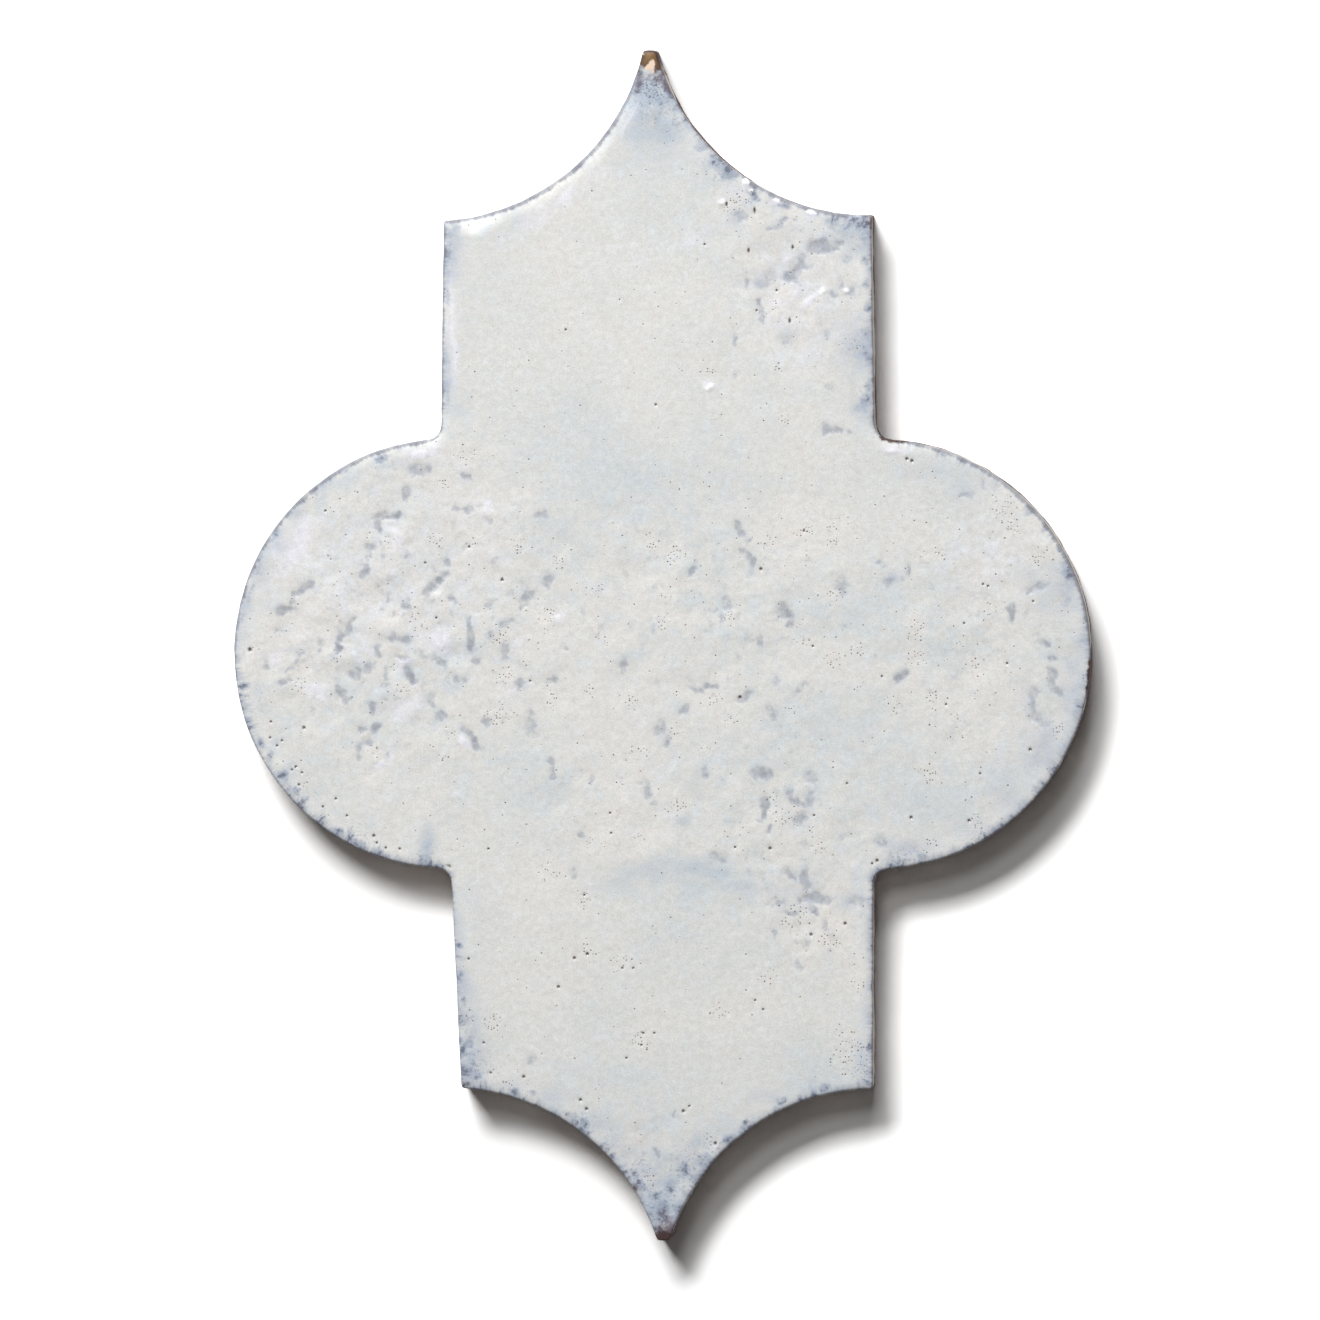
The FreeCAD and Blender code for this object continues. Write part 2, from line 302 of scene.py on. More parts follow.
# Warm cream glaze, where the fine pinholes cluster: clouds
WARM_CLOUDS = (
    (318, 622, 48, 30, 1.1), (415, 620, 60, 50, 0.4), (460, 500, 55, 40, 0.6), (372, 545, 44, 40, 0.6),
    (500, 690, 50, 50, 0.4), (540, 640, 50, 60, 0.45), (665, 590, 45, 60, 0.8), (720, 690, 60, 40, 0.8),
    (800, 530, 60, 35, 0.8), (830, 600, 40, 40, 0.5), (820, 655, 50, 30, 0.8), (600, 740, 60, 60, 0.6),
    (640, 830, 90, 40, 0.6), (560, 885, 50, 30, 0.7), (830, 925, 45, 35, 0.9), (780, 830, 60, 40, 0.6),
    (600, 330, 120, 90, 0.35), (770, 300, 40, 40, 0.4), (960, 690, 70, 50, 0.75), (1030, 640, 30, 30, 0.6),
    (990, 600, 60, 40, 0.6), (500, 1000, 70, 60, 0.4), (740, 1000, 90, 60, 0.45), (735, 200, 25, 22, 0.7),
    (280, 720, 40, 50, 0.4), (620, 1170, 24, 24, 0.3), (760, 420, 90, 50, 0.35), (880, 550, 40, 30, 0.5),
    (390, 745, 50, 30, 0.2), (290, 545, 36, 44, 0.6), (800, 320, 60, 100, 0.9), (500, 565, 36, 24, 0.4),
)
# Where the face is roughest: clouds
ROUGH_ZONES = (
    (400, 620, 170, 170, 1.0), (800, 270, 80, 110, 0.85), (780, 820, 130, 100, 0.7),
    (680, 610, 190, 120, 0.75), (980, 640, 130, 150, 0.65), (600, 800, 90, 80, 0.6),
    (660, 1170, 60, 60, 0.8), (820, 920, 60, 60, 0.8), (655, 110, 40, 40, 0.7),
)
# Pale thick glaze, with painted highlights and sheen where the glossy glaze catches the light: marks
PALE_GLAZE_AND_HIGHLIGHT_MARKS = (
    (434, 640, 44, 36, 30, 0.85), (341, 645, 12, 26, 0, 0.6), (316, 692, 42, 18, -12, 0.7),
    (406, 706, 50, 30, 20, 0.72), (425, 454, 54, 18, 14, 1.0), (294, 548, 44, 90, -30, 0.78),
    (276, 658, 16, 34, -25, 0.7), (487, 512, 14, 36, 0, 0.6), (559, 615, 16, 20, 0, 0.5),
    (403, 664, 18, 14, 40, 0.9), (465, 742, 14, 26, 40, 0.9), (512, 690, 16, 18, 0, 0.7),
    (388, 756, 16, 16, 0, 0.65), (415, 684, 16, 7, -60, 0.9), (381, 763, 14, 7, 10, 0.8),
    (400, 538, 24, 34, 10, 0.6), (345, 560, 40, 24, 0, 0.4), (629, 122, 40, 7, 62, 1.0),
    (606, 146, 30, 7, 48, 0.7), (560, 205, 150, 26, 35, 0.5), (453, 330, 190, 9, 90, 0.8),
    (806, 304, 50, 14, 38, 0.9), (788, 258, 20, 12, 30, 0.9), (746, 184, 14, 12, 0, 0.9),
    (722, 202, 14, 12, 0, 0.9), (777, 202, 14, 8, 0, 0.9), (811, 214, 18, 8, 0, 0.9),
    (846, 291, 12, 9, 0, 0.8), (710, 387, 20, 13, 10, 1.0), (893, 450, 34, 11, -8, 1.0),
    (500, 560, 30, 24, 0, 0.4), (520, 640, 26, 30, 0, 0.4), (470, 575, 40, 26, 20, 0.35),
    (700, 240, 60, 30, 0, 0.3), (735, 192, 40, 20, -20, 0.5), (640, 250, 120, 40, 0, 0.25),
    (800, 370, 60, 40, 0, 0.25), (800, 300, 130, 190, 0, 0.35), (390, 580, 290, 270, 0, 0.3),
    (820, 240, 70, 50, 0, 0.4), (990, 560, 130, 130, 0, 0.3),
)
# Pits in the glaze: marks
PITS_LEFT_LOBE = (
    (389, 515, 24, 8, 0, 1.0), (377, 523, 16, 8, 90, 1.0), (404, 494, 15, 7, 82, 0.9),
    (420, 471, 20, 13, 0, 0.7), (466, 477, 11, 6, -15, 0.8), (475, 451, 8, 6, 30, 0.4),
    (346, 517, 7, 7, 0, 0.55), (369, 547, 8, 9, 0, 0.9), (364, 571, 14, 9, 80, 0.95),
    (431, 587, 28, 9, 43, 1.0), (446, 562, 9, 7, 70, 0.85), (444, 575, 7, 7, 0, 0.9),
    (302, 589, 24, 8, 36, 1.0), (284, 610, 17, 9, 15, 1.0), (291, 602, 10, 6, 50, 0.7),
    (405, 605, 11, 7, 25, 0.9), (431, 602, 6, 5, 0, 0.6), (452, 600, 11, 6, -45, 0.8),
    (388, 599, 11, 5, 85, 0.6), (350, 624, 18, 7, 70, 0.95), (339, 643, 22, 8, 84, 1.0),
    (406, 641, 9, 9, 0, 0.9), (393, 638, 9, 9, 0, 0.75), (378, 651, 14, 6, 105, 0.8),
    (400, 656, 12, 8, -20, 0.7), (367, 668, 10, 9, 30, 0.95), (354, 674, 16, 10, 25, 1.05),
    (409, 677, 18, 10, -60, 1.0), (386, 675, 10, 7, 90, 0.7), (386, 685, 9, 7, 0, 0.7),
    (470, 637, 34, 7, 94, 0.9), (476, 661, 9, 6, 90, 0.7), (505, 652, 20, 7, 90, 0.8),
    (489, 636, 10, 6, 90, 0.75), (506, 624, 14, 7, 30, 0.7), (528, 596, 14, 9, 40, 0.8),
    (523, 607, 10, 6, 35, 0.7), (548, 582, 11, 9, 80, 0.7), (510, 594, 7, 6, 0, 0.6),
    (488, 605, 7, 6, 0, 0.5), (478, 612, 7, 7, 0, 0.5), (450, 616, 8, 6, 80, 0.6),
    (443, 625, 10, 6, 20, 0.5), (539, 515, 14, 9, 15, 0.8), (488, 522, 10, 9, 0, 0.6),
    (456, 508, 8, 6, 0, 0.75), (468, 509, 8, 6, 0, 0.75), (440, 662, 20, 8, -45, 0.75),
    (459, 680, 13, 7, 0, 0.8), (341, 694, 24, 9, -52, 0.85), (346, 703, 9, 7, -50, 0.6),
    (266, 666, 13, 6, 110, 0.75), (283, 681, 12, 8, 20, 0.8), (293, 696, 7, 7, 0, 0.5),
    (371, 709, 12, 8, 85, 0.8), (373, 729, 11, 8, 50, 0.8), (360, 730, 9, 7, 30, 0.8),
    (366, 742, 8, 7, 0, 0.85), (359, 754, 13, 7, 95, 0.85), (431, 701, 12, 9, 90, 0.6),
    (441, 716, 11, 9, 30, 0.8), (486, 722, 9, 8, 0, 0.7), (474, 740, 24, 9, -55, 1.0),
    (464, 730, 10, 6, -20, 0.7), (530, 724, 24, 10, 80, 0.65), (533, 735, 9, 8, 0, 0.6),
    (518, 685, 11, 8, 80, 0.8), (552, 681, 13, 9, 20, 0.85), (386, 758, 9, 5, 90, 0.5),
    (278, 632, 7, 7, 0, 0.6), (320, 646, 13, 5, 88, 0.6), (384, 699, 5, 5, 0, 0.5),
    (403, 557, 8, 8, 0, 0.4), (390, 581, 8, 6, 0, 0.3), (486, 677, 6, 6, 0, 0.4),
    (297, 656, 13, 8, 60, 0.6), (291, 668, 12, 6, 50, 0.6), (369, 557, 8, 6, 0, 0.75),
)
PITS_CENTRE = (
    (740, 530, 18, 8, -70, 0.8), (747, 541, 6, 6, 0, 0.6), (746, 554, 14, 8, -40, 0.7),
    (753, 562, 11, 6, 90, 0.9), (692, 571, 12, 7, 65, 0.9), (727, 602, 12, 8, 50, 0.6),
    (732, 607, 8, 6, 0, 0.5), (711, 610, 16, 5, 0, 0.4), (720, 620, 9, 5, 90, 0.7),
    (785, 611, 17, 13, 110, 1.0), (790, 624, 7, 6, 0, 1.0), (760, 641, 11, 7, 90, 0.9),
    (751, 642, 12, 8, 0, 0.4), (842, 585, 16, 13, 90, 0.6), (889, 581, 11, 8, 0, 0.8),
    (908, 569, 17, 6, 85, 0.8), (880, 561, 6, 5, 0, 0.6), (884, 567, 5, 5, 0, 0.6),
    (902, 579, 6, 5, 0, 0.5), (900, 676, 15, 9, 20, 0.9), (692, 689, 8, 5, 0, 0.7),
    (699, 691, 8, 5, -10, 0.7), (707, 687, 9, 6, 10, 0.8), (714, 687, 8, 5, 0, 0.8),
    (745, 695, 14, 8, 45, 0.9), (740, 698, 6, 5, 45, 1.0), (804, 684, 8, 6, 0, 0.8),
    (797, 690, 8, 6, 80, 0.6), (811, 690, 6, 4, 80, 0.6), (771, 712, 14, 9, -60, 0.8),
    (685, 709, 13, 9, 70, 0.8), (660, 727, 15, 9, 75, 0.8), (667, 741, 14, 6, 85, 0.7),
    (717, 730, 9, 4, 90, 0.4), (780, 726, 6, 4, 0, 0.5), (796, 737, 5, 5, 0, 0.4),
    (624, 665, 16, 10, 90, 0.7), (776, 680, 8, 6, 90, 0.5), (705, 773, 12, 6, 88, 0.8),
    (762, 774, 22, 11, 0, 1.0), (810, 778, 12, 11, 0, 0.7), (739, 655, 8, 6, 90, 0.4),
    (845, 625, 7, 4, 20, 0.4), (552, 767, 22, 7, 92, 0.9), (552, 779, 8, 6, 0, 0.85),
    (591, 779, 7, 6, 90, 0.7), (581, 770, 5, 4, 0, 0.4), (647, 788, 20, 7, -75, 0.8),
    (642, 781, 12, 6, 10, 0.6), (654, 802, 8, 5, 0, 0.4), (764, 808, 20, 7, 82, 0.9),
    (759, 821, 9, 4, 0, 0.6), (792, 797, 14, 8, -60, 0.9), (799, 803, 12, 10, -50, 0.9),
    (810, 798, 14, 8, 85, 0.6), (801, 817, 14, 12, 0, 0.9), (768, 829, 8, 6, 60, 0.9),
    (580, 835, 10, 7, -60, 0.7), (718, 855, 15, 10, -40, 0.7), (574, 873, 12, 8, -60, 0.7),
    (846, 835, 12, 9, 15, 0.4), (748, 871, 6, 5, 0, 0.5), (761, 875, 10, 5, 90, 0.5),
    (565, 647, 7, 7, 0, 0.6), (875, 658, 6, 6, 0, 0.4), (765, 559, 8, 4, 0, 0.3),
)
PITS_UPPER_RIGHT = (
    (734, 174, 10, 9, 0, 1.0), (740, 217, 14, 9, -50, 0.7), (781, 223, 16, 6, 50, 0.9),
    (771, 230, 10, 4, 10, 0.7), (795, 222, 6, 5, 0, 0.8), (831, 228, 9, 5, 0, 0.6),
    (824, 248, 28, 12, -5, 1.0), (812, 245, 8, 8, 0, 0.7), (839, 244, 9, 8, 0, 0.8),
    (802, 259, 10, 8, 50, 0.7), (795, 274, 24, 13, 43, 1.0), (807, 270, 9, 6, 20, 0.6),
    (770, 280, 16, 13, 60, 0.7), (760, 285, 8, 8, 0, 0.5), (826, 272, 10, 6, 90, 0.5),
    (852, 292, 9, 7, 80, 0.8), (832, 294, 14, 8, -15, 0.7), (842, 285, 8, 6, 90, 0.5),
    (760, 306, 16, 8, 95, 0.8), (762, 321, 10, 6, 100, 0.6), (785, 341, 12, 10, 0, 0.55),
    (826, 336, 12, 9, 80, 0.5), (847, 262, 9, 6, 70, 0.6), (831, 389, 12, 8, -10, 0.4),
    (828, 430, 12, 10, 0, 0.85), (838, 431, 10, 8, 0, 0.85), (849, 433, 6, 5, 0, 0.5),
    (755, 197, 11, 10, 0, 0.6), (735, 341, 14, 3, 88, 0.7), (747, 283, 10, 3, 90, 0.6),
    (736, 377, 6, 3, 90, 0.6),
)
PITS_RIGHT_LOBE = (
    (967, 495, 14, 5, 5, 0.7), (984, 482, 14, 5, 88, 0.6), (998, 483, 12, 7, 80, 0.4),
    (938, 503, 6, 4, 0, 0.4), (924, 563, 9, 6, 0, 0.5), (1035, 589, 20, 9, 22, 1.0),
    (1012, 612, 18, 7, 98, 0.95), (1043, 643, 10, 9, -20, 1.0), (1038, 636, 8, 5, 0, 0.6),
    (1051, 658, 8, 6, 0, 0.9), (1052, 677, 20, 9, 95, 0.9), (1057, 692, 12, 8, -35, 0.85),
    (1033, 691, 10, 8, 90, 0.75), (1033, 704, 18, 7, 90, 0.7), (1034, 717, 12, 8, 15, 0.7),
    (1044, 724, 8, 8, 0, 0.5), (1062, 753, 8, 8, 0, 0.6), (1063, 601, 12, 12, 0, 0.5),
    (999, 826, 9, 8, 40, 0.7), (881, 841, 14, 8, -10, 0.7), (915, 851, 8, 6, 0, 0.4),
)
PITS_LOWER_END = (
    (789, 874, 14, 10, -60, 0.9), (804, 879, 18, 10, 88, 0.8), (815, 898, 26, 10, -5, 0.9),
    (802, 901, 10, 6, 0, 1.0), (791, 913, 14, 6, 10, 0.9), (815, 911, 12, 7, -60, 1.0),
    (826, 924, 9, 7, 80, 0.8), (858, 902, 16, 13, 0, 0.5), (773, 933, 9, 6, -70, 0.6),
    (806, 945, 8, 6, 80, 0.6), (797, 941, 7, 4, 0, 0.4), (833, 945, 8, 6, -40, 0.4),
    (776, 903, 18, 9, 10, 0.6), (532, 1061, 10, 8, 40, 0.6), (657, 1153, 9, 4, -60, 1.0),
    (644, 1154, 5, 4, 0, 0.5), (610, 951, 7, 7, 0, 0.4), (799, 965, 10, 7, 80, 0.5),
    (674, 1114, 6, 3, 80, 0.6), (467, 1044, 20, 7, 45, 0.8), (461, 959, 8, 6, 0, 0.3),
)
# Blisters of glaze that catch the light: marks
BLISTERS = (
    (723, 203, 8, 7, 0, 1.6), (746, 182, 9, 8, 0, 1.8), (751, 191, 7, 6, 0, 1.8),
    (777, 201, 9, 5, -20, 1.8), (811, 213, 13, 6, -10, 1.8), (789, 259, 12, 6, 20, 0.5),
    (806, 304, 42, 9, 35, 0.5), (823, 293, 9, 7, 30, 1.8), (847, 291, 6, 6, 0, 1.8),
    (710, 388, 12, 7, 10, 1.8), (400, 655, 9, 9, 0, 0.5), (447, 640, 40, 30, 20, 0.3),
    (330, 688, 30, 16, -15, 0.3), (414, 712, 34, 22, 10, 0.3), (464, 742, 12, 22, 60, 0.5),
    (344, 648, 10, 20, 90, 0.5), (403, 664, 10, 12, 40, 0.5), (486, 512, 12, 24, 80, 0.3),
    (400, 535, 18, 26, 70, 0.3), (416, 456, 34, 9, 12, 0.5), (890, 451, 26, 8, -5, 0.5),
    (300, 657, 30, 14, 35, 0.5), (378, 758, 10, 12, 0, 0.5), (556, 620, 12, 12, 0, 0.5),
    (414, 683, 14, 6, -60, 0.7), (381, 763, 12, 6, 10, 0.7), (394, 523, 16, 5, 0, 0.5),
    (440, 594, 18, 5, 43, 0.5), (308, 597, 18, 5, 36, 0.5), (332, 650, 16, 5, 84, 0.5),
)
# Larger pinholes: x, y and diameter; a slit has its height too
PINHOLES = (
    (249, 650, 5), (270, 722, 3), (269, 738, 3), (276, 746, 3), (281, 741, 3), (303, 728, 4), (298, 785, 3),
    (295, 767, 3), (291, 770, 3), (301, 773, 3), (325, 511, 3), (335, 799, 3), (322, 807, 3), (346, 816, 3),
    (373, 836, 4), (376, 843, 3), (385, 848, 3), (399, 849, 3), (449, 866, 3), (488, 849, 3), (468, 959, 3),
    (469, 547, 3), (436, 618, 3), (425, 563, 3), (502, 580, 4), (530, 681, 3), (587, 954, 4), (574, 958, 4),
    (558, 987, 4), (580, 1100, 4), (586, 1109, 4), (523, 1077, 4), (633, 968, 3), (622, 968, 3),
    (643, 1033, 3), (654, 1033, 3), (641, 1045, 3), (626, 1058, 3), (584, 895, 3), (610, 813, 3),
    (611, 833, 3), (683, 1111, 4), (689, 1106, 3), (715, 1143, 4), (735, 847, 3), (770, 848, 4),
    (755, 1000, 3), (763, 1009, 3), (761, 569, 4), (813, 646, 3), (814, 815, 3), (811, 934, 4),
    (845, 923, 4), (847, 783, 3), (872, 863, 3), (877, 860, 4), (911, 817, 4), (969, 820, 4),
    (1030, 749, 4), (946, 704, 3), (1007, 663, 3), (964, 623, 3), (988, 586, 3), (907, 459, 4),
    (912, 461, 4), (749, 251, 3, 6), (793, 248, 3, 6), (790, 321, 3, 7), (757, 311, 3), (727, 205, 3, 6),
    (755, 211, 3, 8), (777, 291, 3), (804, 531, 3), (740, 697, 4), (980, 773, 3), (882, 676, 3),
    (490, 1073, 3), (483, 1043, 3), (1033, 601, 3), (983, 584, 3), (656, 405, 3), (566, 330, 3),
    (705, 245, 3), (620, 300, 2),
)
# Tight clusters of fine pinholes: x, y and radius
PIN_CLUSTERS = (
    (804, 531, 12), (835, 525, 12), (832, 540, 10), (764, 540, 14), (809, 557, 10), (652, 542, 12),
    (675, 555, 12), (667, 594, 8), (666, 621, 10), (731, 617, 10), (836, 596, 14), (860, 650, 12),
    (835, 660, 12), (860, 684, 10), (805, 644, 10), (715, 700, 12), (732, 719, 10), (790, 709, 10),
    (675, 730, 12), (637, 752, 14), (892, 705, 12), (917, 630, 14), (705, 749, 8), (915, 660, 12),
    (386, 540, 10), (469, 540, 12), (519, 545, 12), (437, 540, 10), (340, 655, 10), (415, 625, 14),
    (500, 635, 14), (546, 612, 14), (545, 625, 12), (503, 675, 14), (400, 688, 12), (450, 730, 12),
    (499, 715, 16), (375, 752, 12), (443, 755, 8), (300, 685, 12), (676, 806, 14), (632, 756, 12),
    (590, 950, 12), (620, 962, 14), (795, 920, 20), (830, 940, 16), (584, 900, 14), (548, 872, 14),
    (640, 838, 8), (590, 843, 10), (785, 815, 16), (815, 833, 12), (770, 795, 12), (818, 848, 10),
    (735, 205, 18), (748, 200, 12), (815, 234, 10), (775, 305, 8), (850, 345, 12), (780, 370, 8),
    (785, 420, 8), (707, 370, 10), (990, 610, 14), (1003, 510, 18), (1013, 531, 12), (1040, 557, 14),
    (940, 552, 10), (923, 552, 8), (916, 632, 14), (962, 640, 10), (957, 720, 12), (975, 665, 14),
    (930, 700, 14), (1055, 730, 12), (925, 775, 14), (980, 822, 14), (930, 845, 12), (850, 1050, 30),
    (770, 975, 14), (715, 1140, 12), (648, 1180, 10), (860, 985, 14), (640, 1040, 14), (492, 1025, 16),
    (510, 1080, 14), (870, 1070, 14), (720, 1010, 14), (465, 455, 12), (440, 485, 10), (550, 700, 12),
    (560, 560, 12), (600, 640, 10), (590, 690, 10), (630, 700, 12), (600, 590, 10),
)
# Where the glaze draws back and the brown clay shows: spots
BARE_SPOTS = (
    (651, 56, 18, 1.2), (642, 71, 6, 0.5), (664, 74, 6, 0.55), (868, 215, 6, 0.55), (873, 228, 5, 0.55),
    (654, 80, 8, 0.35), (664, 1243, 16, 1.25), (871, 220, 6, 0.5), (462, 1086, 6, 0.5), (444, 338, 4, 0.5),
    (636, 1187, 6, 0.5), (683, 95, 8, 0.5), (882, 439, 4, 0.9), (885, 439, 4, 0.9), (888, 440, 4, 0.9),
    (891, 440, 4, 0.9), (894, 440, 4, 0.9), (897, 441, 4, 0.9), (900, 441, 4, 0.9), (903, 441, 4, 0.8),
    (906, 442, 4, 0.7), (459, 1017, 6, 0.4), (836, 1090, 5, 0.3), (1075, 575, 7, 0.3), (1090, 661, 4, 0.8),
    (1090, 665, 4, 0.9), (1090, 669, 4, 0.9), (1090, 673, 4, 0.9), (1090, 677, 4, 0.9), (1089, 681, 4, 0.9),
    (1089, 685, 4, 0.9), (1088, 689, 4, 0.9), (1088, 693, 4, 0.8), (1087, 697, 4, 0.7),
)
# Where the cut wall has no glaze: spots
BARE_WALLS = (
    (690, 120, 25, 0.7), (715, 155, 25, 0.8), (745, 185, 25, 0.6), (790, 208, 30, 0.7), (840, 214, 30, 0.8),
    (876, 400, 40, 0.2), (1093, 680, 24, 1.4), (896, 436, 14, 1.2),
)
# Amber clay at the upper tip: spots
AMBER_SPOTS = ((650, 56, 12, 1.0),)
# Painted highlight in it, a peach streak where its facet catches the light: marks
PAINTED_TIP_HIGHLIGHT_MARKS = ((652, 68, 22, 9, 72, 1.3), (648, 72, 11, 10, 0, 1.2), (645, 57, 4, 4, 0, 0.8),)

# Fields that the glaze reads, by the kind of mark they are made of
SPOT_FIELDS = {"blue": BLUE_RIMS, "edge": GREY_EDGE_SPOTS, "speck": SPECKLED_SPOTS, "shine": SHINY_RIMS,
               "bare": BARE_SPOTS, "wall_bare": BARE_WALLS, "amber": AMBER_SPOTS}
CLOUD_FIELDS = {"cool": COOL_CLOUDS, "warm": WARM_CLOUDS, "veil": BLUE_VEILS, "rough": ROUGH_ZONES}
MARK_FIELDS = {"pale": PALE_GLAZE_AND_HIGHLIGHT_MARKS, "patch": RIM_PATCHES, "dusk": DUSKY_MARKS, "tip_highlight": PAINTED_TIP_HIGHLIGHT_MARKS}
ALL_PITS = PITS_LEFT_LOBE + PITS_CENTRE + PITS_UPPER_RIGHT + PITS_RIGHT_LOBE + PITS_LOWER_END


# Noise


def smoothstep(low, high, value):
    """0 below low, 1 above high and a smooth rise between them."""
    share = np.clip((value - low) / (high - low), 0.0, 1.0)
    return share * share * (3 - 2 * share)


def lattice_noise(points, cell, seed):
    """Smooth noise from -1 to 1 over plan points, with features about one cell wide."""
    table = np.random.default_rng(seed).uniform(-1, 1, (NOISE_TABLE, NOISE_TABLE))
    scaled = points / cell + seed * 7.31
    corner = np.floor(scaled).astype(int)
    share = scaled - corner
    share = share * share * (3 - 2 * share)
    x0, y0 = corner[:, 0] % NOISE_TABLE, corner[:, 1] % NOISE_TABLE
    x1, y1 = (x0 + 1) % NOISE_TABLE, (y0 + 1) % NOISE_TABLE
    low = table[x0, y0] * (1 - share[:, 0]) + table[x1, y0] * share[:, 0]
    high = table[x0, y1] * (1 - share[:, 0]) + table[x1, y1] * share[:, 0]
    return low * (1 - share[:, 1]) + high * share[:, 1]


def layered_noise(points, cell, seed, layers=3):
    """Several octaves of lattice noise, each half as wide and half as strong."""
    total = np.zeros(len(points))
    for layer in range(layers):
        total += lattice_noise(points, cell / 2 ** layer, seed + layer) / 2 ** layer
    return total


def warped(points, amount, cell, seed):
    """Plan points shifted a little by noise, which makes round marks ragged."""
    shift = [layered_noise(points, cell, seed + axis * 50, 2) for axis in (0, 1)]
    return points + amount * np.stack(shift, 1)


def tile_mm(px, py):
    """Place on the tile, in millimetres from its middle, of a photo pixel."""
    return np.array(((px - PHOTO_CENTRE_PX[0]) / PX_PER_MM, (PHOTO_CENTRE_PX[1] - py) / PX_PER_MM))


# Outline


def wall_top_ring(mesh):
    """The ring where the CAD wall meets its rounded rim, as anticlockwise plan points in millimetres."""
    upright = [p for p in mesh.polygons if abs(p.normal.z) < 0.02]
    top = max(mesh.vertices[i].co.z for p in upright for i in p.vertices)
    joined = {}
    for polygon in upright:
        for pair in polygon.edge_keys:
            ends = [mesh.vertices[i].co for i in pair]
            keys = [(round(end.x, 6), round(end.y, 6)) for end in ends]
            if keys[0] != keys[1] and all(abs(end.z - top) < 1e-6 for end in ends):
                joined.setdefault(keys[0], set()).add(keys[1])
                joined.setdefault(keys[1], set()).add(keys[0])
    start = min(joined)
    ring, before, here = [start], None, start
    while True:
        onward = min(key for key in joined[here] if key != before)
        if onward == start:
            break
        ring.append(onward)
        before, here = here, onward
    points = np.array(ring) / MM
    x, y = points.T
    turns_left = np.sum(x * np.roll(y, -1) - np.roll(x, -1) * y) > 0
    return points if turns_left else points[::-1]


def even_ring(ring, step):
    """The ring with evenly spaced points between its sharp corners, and which points are corners."""
    ahead = np.roll(ring, -1, 0) - ring
    behind = ring - np.roll(ring, 1, 0)
    cross = behind[:, 0] * ahead[:, 1] - behind[:, 1] * ahead[:, 0]
    corners = np.flatnonzero(np.abs(np.arctan2(cross, (behind * ahead).sum(1))) > SHARP_TURN)
    points, sharp = [], []
    for start, end in zip(corners, np.r_[corners[1:], corners[0] + len(ring)]):
        path = ring[np.arange(start, end + 1) % len(ring)]
        lengths = np.r_[0, np.cumsum(np.hypot(*np.diff(path, axis=0).T))]
        count = max(2, round(lengths[-1] / step))
        at = np.linspace(0, lengths[-1], count, endpoint=False)
        points.append(np.stack([np.interp(at, lengths, path[:, axis]) for axis in (0, 1)], 1))
        sharp.append(np.arange(count) == 0)
    return np.concatenate(points), np.concatenate(sharp)


def ring_normals(ring):
    """Outward normals of an anticlockwise ring."""
    along = np.roll(ring, -1, 0) - np.roll(ring, 1, 0)
    along /= np.linalg.norm(along, axis=1)[:, None]
    return np.stack((along[:, 1], -along[:, 0]), 1)


def ring_steps(ring):
    """Length of each step along a closed ring, and the run along it at which each step starts."""
    lengths = np.linalg.norm(np.roll(ring, -1, 0) - ring, axis=1)
    return lengths, np.r_[0, np.cumsum(lengths)[:-1]]


def hand_cut_ring(mesh):
    """The tile's outline, evened, eased at its corners and given the wobble of a hand cut."""
    ring, sharp = even_ring(wall_top_ring(mesh), RIM_STEP)
    near_corner = sharp | np.roll(sharp, 1) | np.roll(sharp, -1)
    ease = np.where(near_corner, CORNER_EASE, SIDE_EASE)[:, None]
    for _ in range(EASE_ROUNDS):
        ring = ring + ease * ((np.roll(ring, 1, 0) + np.roll(ring, -1, 0)) / 2 - ring)
    wobble = 0.4 + 0.4 * lattice_noise(ring, 5.0, seed=3) + 0.3 * lattice_noise(ring, 1.6, seed=4)
    return ring - ring_normals(ring) * (CUT_WOBBLE * np.clip(wobble, 0, 1))[:, None]


def rim_distance(points, ring):
    """Distance of each plan point to the ring, and the run along the ring at the nearest place."""
    lengths, run_at = ring_steps(ring)
    tree = KDTree(len(ring))
    for index, (x, y) in enumerate(ring):
        tree.insert((x, y, 0), index)
    tree.balance()
    nearest = np.array([tree.find((x, y, 0))[1] for x, y in points])
    distance, run = np.full(len(points), np.inf), np.zeros(len(points))
    for first in ((nearest - 1) % len(ring), nearest):
        start = ring[first]
        ahead = ring[(first + 1) % len(ring)] - start
        gap = points - start
        share = np.clip((gap * ahead).sum(1) / lengths[first] ** 2, 0, 1)
        off = np.linalg.norm(gap - share[:, None] * ahead, axis=1)
        closer = off < distance
        distance[closer] = off[closer]
        run[closer] = (run_at[first] + share * lengths[first])[closer]
    return distance, run


def inside(points, ring):
    """Whether each plan point lies inside the ring."""
    result = np.zeros(len(points), bool)
    x, y = points.T
    for (ax, ay), (bx, by) in zip(ring, np.roll(ring, -1, 0)):
        if ay != by:
            crosses = (y < ay) != (y < by)
            result ^= crosses & (x < ax + (y - ay) / (by - ay) * (bx - ax))
    return result


def inset_limits(ring, normals):
    """How far each ring point can move inwards before it comes nearer to another part of the rim."""
    limit = np.zeros(len(ring))
    still_clear = np.ones(len(ring), bool)
    for depth in np.arange(INSET_STEP, INSET_REACH + INSET_STEP / 2, INSET_STEP):
        distance, _ = rim_distance(ring - normals * depth, ring)
        still_clear &= distance > 0.9 * depth
        limit[still_clear] = depth
    return INSET_SHARE * limit


# Marks and clouds of the glaze


